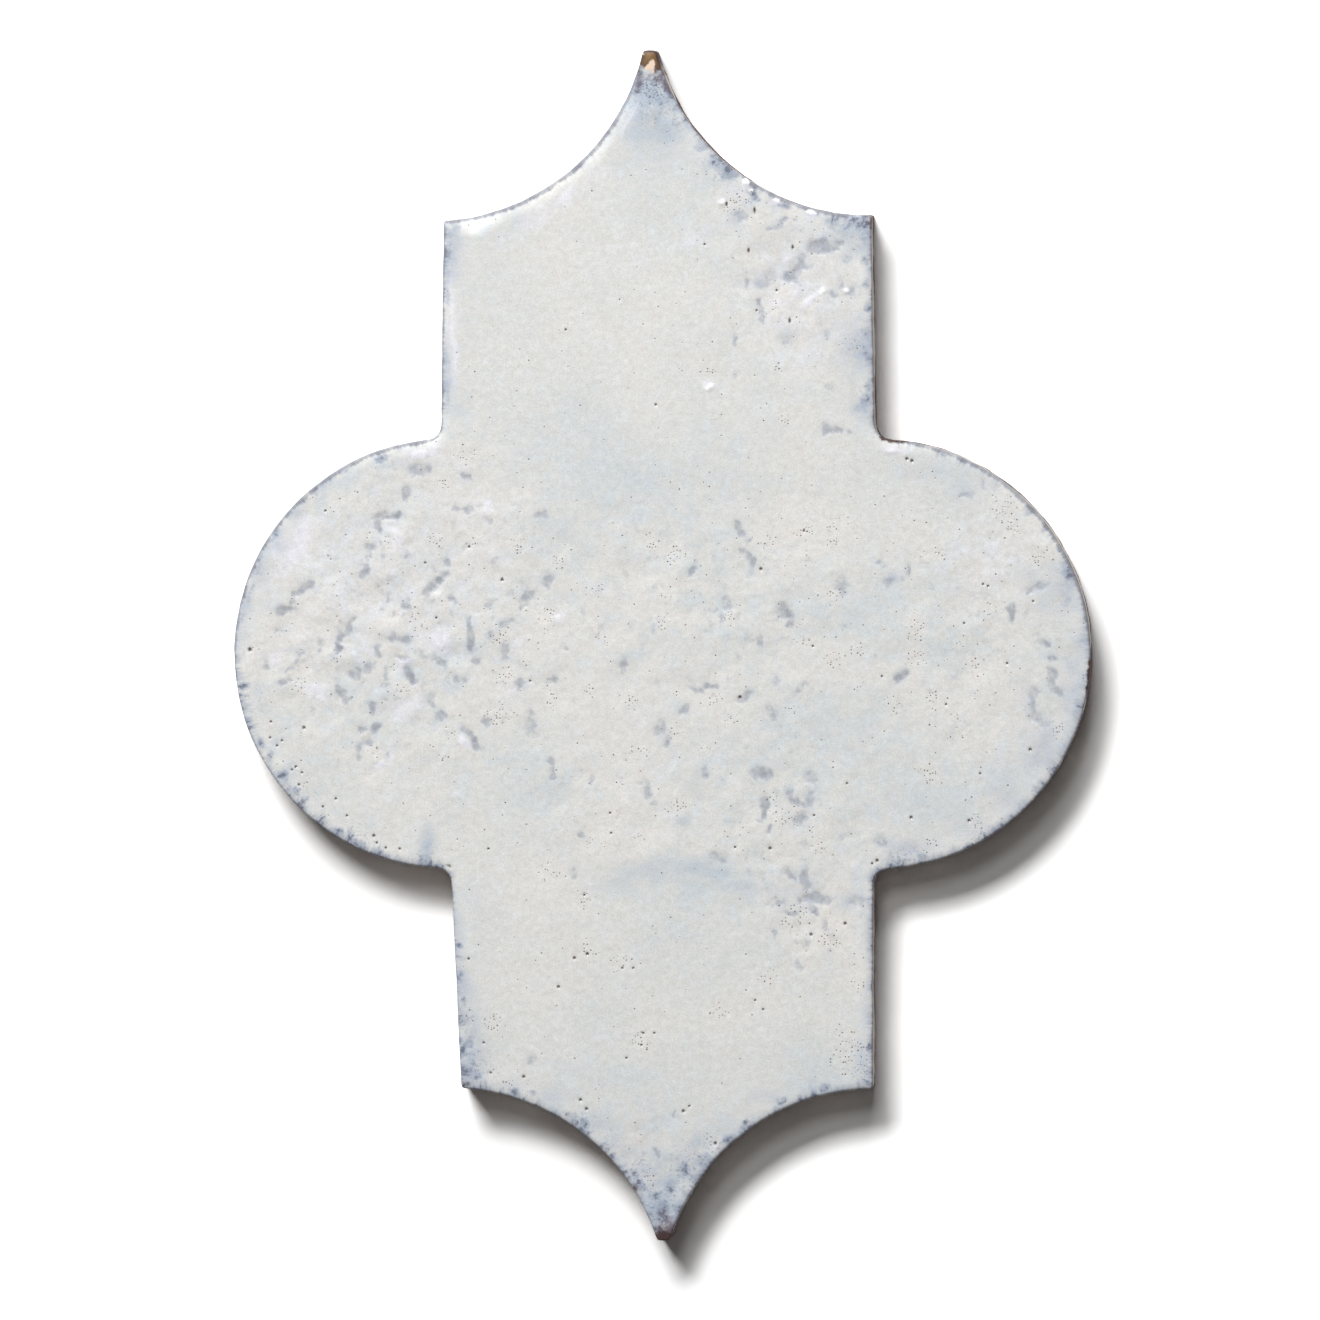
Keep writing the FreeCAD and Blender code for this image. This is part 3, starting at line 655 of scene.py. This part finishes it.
def mark_share(points, mark, margin):
    """Place of points in a mark's own ellipse: 0 at its middle, 1 at its edge."""
    px, py, length, width, turn = mark[:5]
    turned = math.radians(turn)
    local = points - tile_mm(px, py)
    along = local @ (math.cos(turned), math.sin(turned))
    across = local @ (-math.sin(turned), math.cos(turned))
    half = margin / PX_PER_MM / 2
    return np.hypot(along / (length * half), across / (width * half))


def near_mark(points, mark):
    """Indices of the points that a mark can reach."""
    reach = mark[2] / PX_PER_MM + MARK_REACH
    gap = np.abs(points - tile_mm(mark[0], mark[1]))
    return np.flatnonzero((gap[:, 0] < reach) & (gap[:, 1] < reach))


def raise_to(field, at, values):
    """Raise a field to new values at some of its points, where they are the larger ones."""
    field[at] = np.maximum(field[at], values)


def pit_lumps(pit):
    """A pit as a few overlapping round lumps along its length: place, radius and strength of each."""
    px, py, length, width, turn, strength = pit
    draw = np.random.default_rng(px * 1009 + py)
    count = max(2, round(3.0 * length / width))
    turned = math.radians(turn)
    along = np.linspace(-0.5, 0.5, count) * max(length - 0.7 * width, 0.3 * width)
    across = draw.uniform(-0.13, 0.13, count) * width
    radius = draw.uniform(0.85, 1.12, count) * width / 2 * PIT_MARGIN / PX_PER_MM
    x = px + along * math.cos(turned) - across * math.sin(turned)
    y = py - along * math.sin(turned) - across * math.cos(turned)
    return [(tile_mm(*place), r, strength * draw.uniform(0.75, 1.05)) for *place, r in zip(x, y, radius)]


def pit_fields(points):
    """Depth in millimetres, tint and surrounding halo from 0 to 1 of the pits at plan points."""
    depth, tint, halo = (np.zeros(len(points)) for _ in range(3))
    ragged = warped(warped(points, 0.32, 1.8, seed=21), 0.2, 0.7, seed=23)
    for pit in ALL_PITS:
        near = near_mark(points, pit)
        for place, radius, strength in pit_lumps(pit):
            offset = (ragged[near] - place) / radius
            share = np.hypot(*offset.T)
            lean = np.clip(0.85 + 0.22 * (offset[:, 0] - offset[:, 1]), 0.5, 1.1)
            most = strength * (0.02 + PIT_STEEPNESS * radius)
            shade = (0.12 + 0.9 * strength) * lean
            raise_to(depth, near, most * (1 - smoothstep(0.2, 1.2, share)))
            raise_to(tint, near, shade * (1 - smoothstep(0.4, 1.4, share)))
            raise_to(halo, near, strength * (1 - smoothstep(0.6, 2.6, share)))
    return depth, tint, halo


def blister_height(points):
    """Height in millimetres of the blisters at plan points."""
    height = np.zeros(len(points))
    ragged = warped(points, 0.3, 2.0, seed=31)
    for blister in BLISTERS:
        near = near_mark(points, blister)
        share = mark_share(ragged[near], blister, BLISTER_MARGIN)
        rise = blister[5] * BLISTER_STEEPNESS * min(blister[2], blister[3]) / PX_PER_MM / 2
        raise_to(height, near, rise * (1 - smoothstep(0.0, 1.0, share)))
    return height


def painted_glint_field(points):
    """1 on the blisters that get a painted white highlight, 0 elsewhere."""
    total = np.zeros(len(points))
    for blister in BLISTERS:
        if blister[5] >= PAINTED_GLINT_STRENGTH:
            near = near_mark(points, blister)
            raise_to(total, near, 1 - smoothstep(0.3, 1.2, mark_share(points[near], blister, 1.0)))
    return total


def pinhole_marks(margin):
    """The larger pinholes as upright marks of some margin; one with a height of its own is a slit."""
    return [(px, py, tall[0] * margin if tall else wide * margin, wide * margin, 90)
            for px, py, wide, *tall in PINHOLES]


def pinhole_fields(points):
    """Depth in millimetres and darkness from 0 to 1 of the larger pinholes at plan points."""
    depth, dark = np.zeros(len(points)), np.zeros(len(points))
    for mark in pinhole_marks(PINHOLE_MARGIN):
        near = near_mark(points, mark)
        share = mark_share(points[near], mark, 1.0)
        raise_to(depth, near, PINHOLE_DEPTH * mark[3] * (1 - smoothstep(0.2, 1.4, share)))
        raise_to(dark, near, 1 - smoothstep(0.5, 1.4, share))
    return depth, dark


def cloud_field(points, clouds):
    """Soft drifting clouds from 0 to 1 at plan points."""
    total = np.zeros(len(points))
    ragged = warped(points, 1.6, 12.0, seed=41)
    for px, py, across, up, strength in clouds:
        gap = (ragged - tile_mm(px, py)) * PX_PER_MM / np.array((across, up))
        total = np.maximum(total, strength * np.exp(-(gap ** 2).sum(1)))
    return total


def spot_field(points, spots):
    """Round soft spots from 0 to 1 at plan points."""
    total = np.zeros(len(points))
    for px, py, radius, strength in spots:
        away = np.hypot(*(points - tile_mm(px, py)).T) * PX_PER_MM / radius
        total = np.maximum(total, strength * np.exp(-away ** 2))
    return total


def mark_field(points, marks):
    """Soft ragged ellipses from 0 to 1 at plan points."""
    total = np.zeros(len(points))
    ragged = warped(points, 0.5, 3.0, seed=51)
    for mark in marks:
        near = near_mark(points, mark)
        share = mark_share(ragged[near], mark, SOFT_MARGIN)
        raise_to(total, near, mark[5] * (1 - smoothstep(0.1, 1.0, share)))
    return total


# Relief of the glazed face


def between(pair, share):
    """Value between the two of a pair."""
    return pair[0] + (pair[1] - pair[0]) * share


def roll_drop(distance, roll):
    """Drop of the face below its flat middle, by distance from the rim and by how much the rim rolls."""
    soft = np.clip(1 - distance / between(ROLL_WIDTH, roll), 0, 1)
    tight = np.clip(1 - distance / EDGE_ROUND, 0, 1)
    rolled = between(ROLL_DROP, roll) * (1 - np.sqrt(1 - soft ** 2))
    return rolled + EDGE_ROUND * (1 - np.sqrt(1 - tight ** 2))


def face_waves(points):
    """Gentle waves of the glaze in millimetres, stronger where the face is rough."""
    broad = BROAD_WAVES[0] * layered_noise(points, BROAD_WAVES[1], seed=61, layers=2)
    small = SMALL_WAVES[0] * lattice_noise(points, SMALL_WAVES[1], seed=64)
    rough = ROUGH_WAVES[0] * layered_noise(points, ROUGH_WAVES[1], seed=66)
    return np.clip(broad + small + cloud_field(points, ROUGH_ZONES) * rough, *WAVE_RANGE)


def face_height(points, distance):
    """Height of the glazed face at plan points, and the tint, halo and darkness of its marks."""
    box_top = cad_high.z / MM
    pit_depth, pit_tint, pit_halo = pit_fields(points)
    hole_depth, hole_dark = pinhole_fields(points)
    calm = smoothstep(0.3, 2.5, distance)
    height = box_top - FACE_ALLOWANCE - roll_drop(distance, spot_field(points, ROLLED_RIMS))
    height += calm * face_waves(points)
    height += smoothstep(0.2, 0.9, distance) * blister_height(points)
    height = np.minimum(height, box_top)
    return height - calm * pit_depth - hole_depth, pit_tint, pit_halo, hole_dark


# Mesh of the tile


def grid_points(low, high, step, seed):
    """Jittered points of a triangular grid over a plan box."""
    rows = np.arange(low[1], high[1], step * math.sqrt(3) / 2)
    columns = np.arange(low[0], high[0], step)
    x, y = np.meshgrid(columns, rows)
    x = x + (np.arange(len(rows)) % 2)[:, None] * step / 2
    grid = np.stack((x, y), 2)
    jitter = np.random.default_rng(seed).uniform(-GRID_JITTER, GRID_JITTER, grid.shape)
    return (grid + jitter * step).reshape(-1, 2)


def in_marks(points, marks, margin):
    """Whether each plan point lies in any of the marks."""
    result = np.zeros(len(points), bool)
    for mark in marks:
        near = near_mark(points, mark)
        result[near] |= mark_share(points[near], mark, margin) < 1
    return result


def pinhole_points():
    """A centre and three rings of points for each larger pinhole."""
    sets = []
    for px, py, tall, wide, _ in pinhole_marks(PINHOLE_MARGIN / PX_PER_MM / 2):
        sets.append(tile_mm(px, py)[None])
        for share, count in PINHOLE_RINGS:
            angles = np.arange(count) / count * 2 * math.pi + share
            ring = np.stack((wide * np.cos(angles), tall * np.sin(angles)), 1)
            sets.append(tile_mm(px, py) + share * ring)
    return np.concatenate(sets)


def face_points(ring, inner_ring):
    """Points of the glazed face inside the rim's last ring: pinholes, pits, then the plain face."""
    low, high = ring.min(0), ring.max(0)
    fine = grid_points(low, high, MARK_STEP, seed=5)
    fine = fine[in_marks(fine, ALL_PITS + BLISTERS, FINE_MARGIN)]
    plain = grid_points(low, high, FACE_STEP, seed=6)
    plain = plain[~in_marks(plain, ALL_PITS + BLISTERS, PLAIN_MARGIN)]
    grid = np.concatenate((fine, plain))
    grid = grid[~in_marks(grid, pinhole_marks(PINHOLE_MARGIN), PINHOLE_CLEARING)]
    points = np.concatenate((pinhole_points(), grid))
    points = points[inside(points, inner_ring)]
    clear, _ = rim_distance(points, inner_ring)
    return points[clear > RIM_CLEARANCE]


def ring_faces(outer_start, inner_start, count):
    """Quads between two rings of points with the same count."""
    i = np.arange(count)
    j = (i + 1) % count
    return np.stack((outer_start + i, outer_start + j, inner_start + j, inner_start + i), 1).tolist()


def filled_loop(loop, extra):
    """Triangles that fill an anticlockwise loop, through extra points inside it."""
    points = [Vector(p) for p in np.concatenate((loop, extra))]
    result = delaunay_2d_cdt(points, [], [list(range(len(loop)))], 1, 1e-6)
    source = [ids[0] for ids in result[3]]
    return [[source[i] for i in triangle] for triangle in result[2]]


def wall_rings(ring, normals, ring_run, rim_height, back_limit):
    """Rings of the cut wall from below the rim to the flat back, each with its depth below the rim."""
    count = len(ring)
    rings, depths = [], []
    for share in WALL_LEVELS:
        level = rim_height * share
        place = np.stack((ring_run, level), 1)
        rough = 0.5 + 0.5 * layered_noise(place, 3.0, seed=71)
        sunk = WALL_ROUGHNESS * np.clip(rough, 0, 1) * smoothstep(1.0, 0.75, np.full(count, share))
        rings.append(np.column_stack((ring - normals * sunk[:, None], level)))
        depths.append(rim_height - level)
    for inset, level in BACK_STEPS:
        shift = np.minimum(BACK_ROUND * inset + WALL_ROUGHNESS / 2, back_limit)
        rings.append(np.column_stack((ring - normals * shift[:, None], np.full(count, level * BACK_ROUND))))
        depths.append(rim_height - level * BACK_ROUND)
    return rings, depths


def tile_faces(rim_rings, face_plan, walls):
    """Faces of the closed tile, whose points are the rim's rings, the face's points and the wall's rings."""
    count = len(rim_rings[0])
    last_rim = (len(rim_rings) - 1) * count
    wall_start = last_rim + count + len(face_plan)
    back_start = wall_start + (len(walls) - 1) * count
    faces = [[last_rim + i for i in face] for face in filled_loop(rim_rings[-1], face_plan)]
    for start in range(0, last_rim, count):
        faces += ring_faces(start, start + count, count)
    faces += ring_faces(wall_start, 0, count)
    for start in range(wall_start, back_start, count):
        faces += ring_faces(start + count, start, count)
    back = filled_loop(walls[-1][:, :2], np.empty((0, 2)))
    return faces + [[back_start + i for i in reversed(face)] for face in back]


def glaze_fields(plan):
    """The fields that depend on the place in plan alone."""
    fields = {"painted_glint": painted_glint_field(plan), "pins": spot_field(plan, [spot + (1.0,) for spot in PIN_CLUSTERS])}
    for shape, lists in ((spot_field, SPOT_FIELDS), (cloud_field, CLOUD_FIELDS), (mark_field, MARK_FIELDS)):
        fields.update({name: shape(plan, marks) for name, marks in lists.items()})
    return fields


def build_tile():
    """The tile as one closed mesh that stands for the CAD solid, with the fields that its glaze reads."""
    ring = hand_cut_ring(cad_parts[NODE].data)
    normals = ring_normals(ring)
    count = len(ring)
    _, ring_run = ring_steps(ring)
    limit = inset_limits(ring, normals)
    shrink = np.minimum(1, limit / RIM_INSETS[-1])
    rim_rings = [ring - normals * (inset * shrink)[:, None] for inset in RIM_INSETS]
    face_plan = face_points(ring, rim_rings[-1])

    plan = np.concatenate(rim_rings + [face_plan])
    distance, run = rim_distance(plan, ring)
    run[:len(RIM_INSETS) * count] = np.tile(ring_run, len(RIM_INSETS))
    height, pit_tint, pit_halo, hole_dark = face_height(plan, distance)
    walls, depths = wall_rings(ring, normals, ring_run, height[:count], limit)
    vertices = np.concatenate([np.column_stack((plan, height))] + walls)

    on_wall = np.zeros(len(walls) * count)
    fields = glaze_fields(vertices[:, :2])
    fields["rim_mm"] = np.concatenate([distance] + [-depth for depth in depths])
    fields["run_mm"] = np.concatenate([run] + [ring_run] * len(walls))
    fields["pit"] = np.concatenate((pit_tint, on_wall))
    fields["halo"] = np.concatenate((pit_halo, on_wall))
    fields["hole"] = np.concatenate((hole_dark, on_wall))

    mesh = bpy.data.meshes.new("glazed_tile")
    mesh.from_pydata((vertices * MM).tolist(), [], tile_faces(rim_rings, face_plan, walls))
    for name, values in fields.items():
        mesh.attributes.new(name, "FLOAT", "POINT").data.foreach_set("value", values.astype(np.float32))
    mesh.polygons.foreach_set("use_smooth", np.ones(len(mesh.polygons), bool))
    mesh.update()
    tile = bpy.data.objects.new("glazed_tile", mesh)
    bpy.context.scene.collection.objects.link(tile)
    return tile


# Materials


class Value:
    """A number inside a material, which can be added, taken away and multiplied."""

    def __init__(self, shader, socket):
        self.shader = shader
        self.socket = socket

    def __add__(self, other):
        return self.shader.math("ADD", self, other)

    def __sub__(self, other):
        return self.shader.math("SUBTRACT", self, other)

    def __rsub__(self, other):
        return self.shader.math("SUBTRACT", other, self)

    def __mul__(self, other):
        return self.shader.math("MULTIPLY", self, other)

    def rise(self, low, high):
        """0 below low, 1 above high, smooth between; low above high turns it round."""
        inputs = {"Value": self, "From Min": low, "From Max": high}
        made = self.shader.node("ShaderNodeMapRange", inputs, interpolation_type="SMOOTHSTEP")
        return Value(self.shader, made.outputs["Result"])


class Shader:
    """Short ways to add and join the nodes of a material or a world."""

    def __init__(self, owner):
        owner.use_nodes = True
        self.tree = owner.node_tree
        self.tree.nodes.clear()

    def node(self, kind, inputs, **settings):
        """A new node with its settings, and its inputs joined or set."""
        made = self.tree.nodes.new(kind)
        for key, value in settings.items():
            setattr(made, key, value)
        for key, value in inputs.items():
            if isinstance(value, Value):
                value = value.socket
            if isinstance(value, bpy.types.NodeSocket):
                self.tree.links.new(value, made.inputs[key])
            else:
                made.inputs[key].default_value = value
        return made

    def field(self, name):
        """A field of the mesh."""
        return Value(self, self.node("ShaderNodeAttribute", {}, attribute_name=name).outputs["Fac"])

    def math(self, operation, a, b):
        """The result of an operation on two values."""
        return Value(self, self.node("ShaderNodeMath", {0: a, 1: b}, operation=operation).outputs[0])

    def larger(self, a, b):
        """The larger of two values."""
        return self.math("MAXIMUM", a, b)

    def mix(self, share, a, b):
        """Colour a, going over to colour b by the share."""
        return self.node("ShaderNodeMix", {0: share, 6: a, 7: b}, data_type="RGBA").outputs[2]

    def noise(self, place, scale, detail=2.0, rough=0.6):
        """Noise about 0, mostly from -0.25 to 0.25."""
        inputs = {"Vector": place, "Scale": scale, "Detail": detail, "Roughness": rough}
        return Value(self, self.node("ShaderNodeTexNoise", inputs).outputs["Fac"]) - 0.5


Noises = namedtuple("Noises", "clouds mottle fine grain teeth streaks")


def glaze_noises(s, place, rim):
    """Noise of the glaze from broad clouds to fine grain, and along the rim its broad teeth and streaks."""
    along = s.node("ShaderNodeCombineXYZ", {0: s.field("run_mm"), 1: rim * 0.3}).outputs[0]
    return Noises(
        clouds=s.noise(place, CLOUD_SCALE, 3.0, 0.5),
        mottle=s.noise(place, MOTTLE_SCALE, 3.0),
        fine=s.noise(place, FINE_SCALE),
        grain=s.noise(place, GRAIN_SCALE),
        teeth=s.noise(along, TEETH_SCALE, 3.0),
        streaks=s.noise(along, STREAK_SCALE),
    )


def glaze_ground(s, noise):
    """Colour of the plain glaze: from warm where it is thick to cool where it is thin, with pale thick glaze
    and painted highlights and sheen.
    """
    thin = s.field("cool") * 0.9 + s.field("halo") * 0.3
    thick = s.field("warm") * 0.7 + s.field("pins") * 0.25
    uneven = (noise.mottle * 4.0 + noise.fine * 0.6) * (s.field("rough") * 0.9 + 0.4)
    tone = thin - thick + noise.clouds * 1.6 + uneven
    colour = s.mix(tone * -0.9, NEUTRAL_GLAZE, WARM_GLAZE)
    colour = s.mix(tone * 0.9, colour, COOL_GLAZE)
    # Pale thick glaze and painted highlights and sheen
    pale = s.field("pale") + noise.mottle * 1.2 + noise.fine * 0.5
    return s.mix(pale.rise(0.02, 1.0) * 0.9, colour, PALE_GLAZE_AND_SHEEN)


def add_pits(s, colour, place, noise):
    """Pits tinted blue-grey, ragged at their edges and uneven inside, and faint smudges among them."""
    pit = s.field("pit") + noise.mottle * 0.8 + noise.fine * 1.5 + noise.grain * 0.7
    pit = pit * s.field("halo").rise(0.05, 0.3)
    smudge = s.noise(place, SMUDGE_SCALE, 3.0).rise(0.07, 0.24) * s.field("rough")
    colour = s.mix(smudge * 0.55, colour, PIT_GLAZE)
    colour = s.mix(pit.rise(0.15, 0.8) * 0.74, colour, PIT_GLAZE)
    return s.mix(pit.rise(0.65, 1.3) * 0.75, colour, PIT_CORE)


def add_veils(s, colour, rim, noise):
    """Blue veils where the glaze lies thin, and a soft blue band along the rim."""
    band = rim.rise(7.0, 0.5) * (s.field("blue") * 0.8 + 0.1)
    drift = (noise.clouds + noise.mottle * 1.6 + noise.fine * 0.7).rise(-0.1, 0.4)
    veil = s.field("veil") + (noise.mottle + noise.fine) * s.field("veil") * 2.0
    return s.mix(s.larger(veil * 0.85, band * drift * 0.6), colour, VEIL_BLUE)


def add_blue_rim(s, colour, rim, noise):
    """Slate-blue teeth that run inwards from the rim, and blue patches; also returns their mask."""
    speckle = noise.fine * 1.2 + noise.grain * 1.4
    reach = s.field("blue") * (noise.teeth * 9.0 + 1.2) + 0.15
    inward = reach + noise.streaks * 2.0 + speckle * 0.4 - rim
    ragged = noise.streaks * 0.9 + noise.fine * 0.6 + noise.mottle * 0.9
    patch = (s.field("patch") + ragged) * s.field("patch").rise(0.02, 0.2)
    blue = s.larger(inward.rise(-0.7, 1.2), patch.rise(0.0, 0.8))
    colour = s.mix(blue * (noise.mottle * 0.9 + speckle * 0.4 + 0.72), colour, RIM_BLUE)
    thin = s.larger(inward.rise(0.0, 1.9), patch.rise(0.2, 1.2))
    flecks = noise.fine * 2.0 + noise.streaks * 1.2 + noise.grain * 0.6
    deep = (thin + flecks).rise(0.45, 1.2)
    return s.mix(deep * blue * 0.8, colour, RIM_DEEP), blue


def add_dark_specks(s, colour, place, noise):
    """Dark speckle in the thin glaze, and dusky patches next to the bare clay."""
    crackle = s.noise(place, CRACKLE_SCALE) * 1.5 + noise.fine * 0.5
    colour = s.mix(crackle.rise(0.02, 0.32) * s.field("speck") * 0.6, colour, RIM_DEEP)
    dusk = s.field("dusk") + noise.fine * 2.2 + noise.mottle * 0.8 + noise.grain
    dusk = dusk.rise(0.0, 1.4) * s.field("dusk").rise(0.02, 0.4)
    return s.mix(dusk * 0.85, colour, DUSKY_GLAZE)


def add_grey_edge_line(s, colour, rim, noise):
    """A grey line at the very edge; also returns its mask."""
    edge = s.field("edge") * 0.7 + noise.teeth + noise.streaks * 0.6
    line = (rim - edge).rise(0.35, -0.15)
    return s.mix(line * (noise.teeth * 1.8 + noise.mottle * 0.8 + 0.72), colour, RIM_LINE), line


def add_pinholes(s, colour, place, rim):
    """Fine pinholes in clusters, and the larger ones that the mesh has; also returns the fine ones' mask."""
    cells = s.node("ShaderNodeTexVoronoi", {"Vector": place, "Scale": PIN_CELLS}, voronoi_dimensions="2D")
    parts = s.node("ShaderNodeSeparateColor", {0: cells.outputs["Color"]}).outputs
    draw, width, darkness = (Value(s, part) for part in parts)
    chance = s.field("pins").rise(0.3, 1.0) * 0.45 + s.field("rough") * 0.015 + 0.006
    chance = chance + s.field("speck").rise(0.8, 1.2) * 0.5
    chosen = s.math("LESS_THAN", draw, chance)
    dot = s.math("DIVIDE", cells.outputs["Distance"], width * 0.13 + 0.15).rise(1.4, 0.6)
    dot = dot * chosen * rim.rise(0.3, 1.0)
    dot_colour = s.mix(s.field("speck") * 1.5, PIN_CLAY, RIM_DEEP)
    colour = s.mix(dot * (darkness * 0.5 + 0.5), colour, dot_colour)
    return s.mix(s.field("hole") * 0.95, colour, HOLE_CLAY), dot


def add_clay(s, colour, rim, noise):
    """Bare clay at the tips and on the wall, under a beige run of glaze; also returns the bare mask."""
    clay = s.mix(noise.mottle * 1.5 + 0.25, DARK_CLAY, LIGHT_CLAY)
    clay = s.mix(s.field("amber") * (rim + noise.fine).rise(0.15, 0.6), clay, AMBER_CLAY)
    # Painted highlight on the amber at the upper tip
    clay = s.mix((s.field("tip_highlight") + noise.fine).rise(0.3, 0.8), clay, PAINTED_TIP_HIGHLIGHT)
    along = s.node("ShaderNodeCombineXYZ", {0: s.field("run_mm")}).outputs[0]
    run_off = s.noise(along, RUN_OFF_SCALE, 1.0, 0.5) * 9.0 - s.field("wall_bare") * 6.0
    below = (rim + run_off + noise.fine * 1.5).rise(-5.8, -6.6) * rim.rise(0.0, -0.3)
    bare = s.field("bare") + noise.mottle * 0.5 + noise.fine * 0.8
    bare = s.larger(below, bare.rise(0.3, 0.75))
    colour = s.mix(rim.rise(-0.1, -0.9), colour, WALL_GLAZE)
    return s.mix(bare, colour, clay), bare


def glaze_roughness(s, rim, noise, blue, line, bare):
    """Glossy in the middle, duller near the rim, in the pits, in blue glaze and on bare clay."""
    matt = blue * 0.16 + s.field("pit").rise(0.1, 0.8) * 0.15 + line * 0.4
    matt = matt + (rim.rise(4.5, 1.5) - s.field("shine")).rise(0.0, 1.0) * 0.35
    dull = bare * (0.4 - s.field("amber") * 0.5)
    return noise.mottle * 0.2 + dull + matt + GLAZE_ROUGHNESS


def glaze_material():
    """Off-white glaze with cool and warm clouds, pits, pinholes and a blue rim, over brown clay."""
    material = bpy.data.materials.new("pitted_glaze")
    s = Shader(material)
    place = s.node("ShaderNodeTexCoord", {}).outputs["Object"]
    rim = s.field("rim_mm")
    noise = glaze_noises(s, place, rim)
    colour = glaze_ground(s, noise)
    colour = add_pits(s, colour, place, noise)
    colour = add_veils(s, colour, rim, noise)
    colour, blue = add_blue_rim(s, colour, rim, noise)
    colour = add_dark_specks(s, colour, place, noise)
    colour, line = add_grey_edge_line(s, colour, rim, noise)
    # Painted highlights: white glints on the strongest blisters
    colour = s.mix((s.field("painted_glint") + noise.fine * 0.6).rise(0.15, 0.7), colour, PAINTED_GLINT_WHITE)
    speckle = noise.grain * 0.42 + noise.fine * 0.3 + noise.mottle * 0.16 + 1.0
    colour = s.node("ShaderNodeHueSaturation", {"Color": colour, "Value": speckle}).outputs[0]
    colour, dot = add_pinholes(s, colour, place, rim)
    colour, bare = add_clay(s, colour, rim, noise)
    relief = s.noise(place, LUMP_SCALE, rough=0.5) + noise.grain * 0.15 - dot
    bump = s.node("ShaderNodeBump", {"Height": relief, "Strength": BUMP_STRENGTH, "Distance": BUMP_DEPTH})
    surface = s.node("ShaderNodeBsdfPrincipled", {
        "Base Color": colour, "Roughness": glaze_roughness(s, rim, noise, blue, line, bare),
        "Normal": bump.outputs[0], "IOR": GLAZE_IOR})
    s.node("ShaderNodeOutputMaterial", {"Surface": surface.outputs[0]})
    return material


def direct_rays(s):
    """1 for rays of the camera, of reflections and of glass, 0 for light that spreads."""
    seen = s.node("ShaderNodeLightPath", {}).outputs
    mirrored = s.larger(seen["Is Glossy Ray"], seen["Is Transmission Ray"])
    return s.larger(seen["Is Camera Ray"], mirrored)


def table_material():
    """White table whose lit part the camera sees as pure white, with the tile's shadow on it."""
    material = bpy.data.materials.new("white_table")
    s = Shader(material)
    surface = s.node("ShaderNodeBsdfDiffuse", {"Color": s.mix(direct_rays(s), TABLE_COLOUR, TABLE_SEEN)})
    s.node("ShaderNodeOutputMaterial", {"Surface": surface.outputs[0]})
    return material


# Stage


def add_table():
    """White table that keeps the tile's shadow."""
    half = TABLE_SIDE / 2
    mesh = bpy.data.meshes.new("table")
    corners = [(-half, -half, 0), (half, -half, 0), (half, half, 0), (-half, half, 0)]
    mesh.from_pydata(corners, [], [(0, 1, 2, 3)])
    mesh.materials.append(table_material())
    table = bpy.data.objects.new("table", mesh)
    table.location.z = cad_low.z
    bpy.context.scene.collection.objects.link(table)


def add_lamp(name, direction, size, brightness):
    """A rectangular soft lamp that shines at the tile from a direction."""
    lamp = bpy.data.lights.new(name, "AREA")
    lamp.shape = "RECTANGLE"
    lamp.size, lamp.size_y = size
    towards = Vector(direction).normalized()
    lamp.energy = brightness * (math.pi * LAMP_DISTANCE) ** 2 / towards.z
    holder = bpy.data.objects.new(name, lamp)
    bpy.context.scene.collection.objects.link(holder)
    holder.location = towards * LAMP_DISTANCE
    holder.rotation_euler = holder.location.to_track_quat("Z", "Y").to_euler()
    holder.visible_camera = False


def add_sky():
    """A weak even sky that the camera and reflections see as white."""
    world = bpy.data.worlds.new("sky")
    bpy.context.scene.world = world
    s = Shader(world)
    levels = {"Value": direct_rays(s), "To Min": SKY_STRENGTH, "To Max": 1.0}
    strength = s.node("ShaderNodeMapRange", levels).outputs["Result"]
    sky = s.node("ShaderNodeBackground", {"Color": SKY_COLOUR, "Strength": strength})
    s.node("ShaderNodeOutputWorld", {"Surface": sky.outputs[0]})


def add_camera():
    """Long lens nearly straight above, leaning a little to the upper right."""
    lean = [math.radians(angle) for angle in CAMERA_LEAN]
    back = Vector((math.tan(lean[0]), math.tan(lean[1]), 1)).normalized()
    middle = tile_mm(IMAGE_PX / 2, IMAGE_PX / 2) * MM
    target = Vector((middle[0], middle[1], cad_high.z - FACE_ALLOWANCE * MM))
    along_x = Vector((1, 0, 0))
    seen_x = (along_x - back * along_x.dot(back)).normalized()
    level = Vector((0, 1, 0)).cross(back).normalized()
    right = (seen_x + level).normalized()
    camera = bpy.data.cameras.new("overhead")
    camera.sensor_width = SENSOR_MM
    view_width = IMAGE_PX / PX_PER_MM * MM * (math.cos(lean[0]) + math.cos(lean[1])) / 2
    camera.lens = SENSOR_MM * CAMERA_DISTANCE / view_width
    camera.clip_start, camera.clip_end = CAMERA_CLIP
    eye = bpy.data.objects.new("overhead", camera)
    bpy.context.scene.collection.objects.link(eye)
    eye.location = target + back * CAMERA_DISTANCE
    turn = Matrix((right, back.cross(right), back)).transposed()
    eye.rotation_euler = turn.to_euler()
    bpy.context.scene.camera = eye


bpy.context.scene.view_settings.view_transform = "Standard"
tile = build_tile()
tile.data.materials.append(glaze_material())
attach(tile, BODY)
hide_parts(NODE)
add_table()
for lamp_values in LAMPS:
    add_lamp(*lamp_values)
add_sky()
add_camera()

bpy.context.view_layer.update()
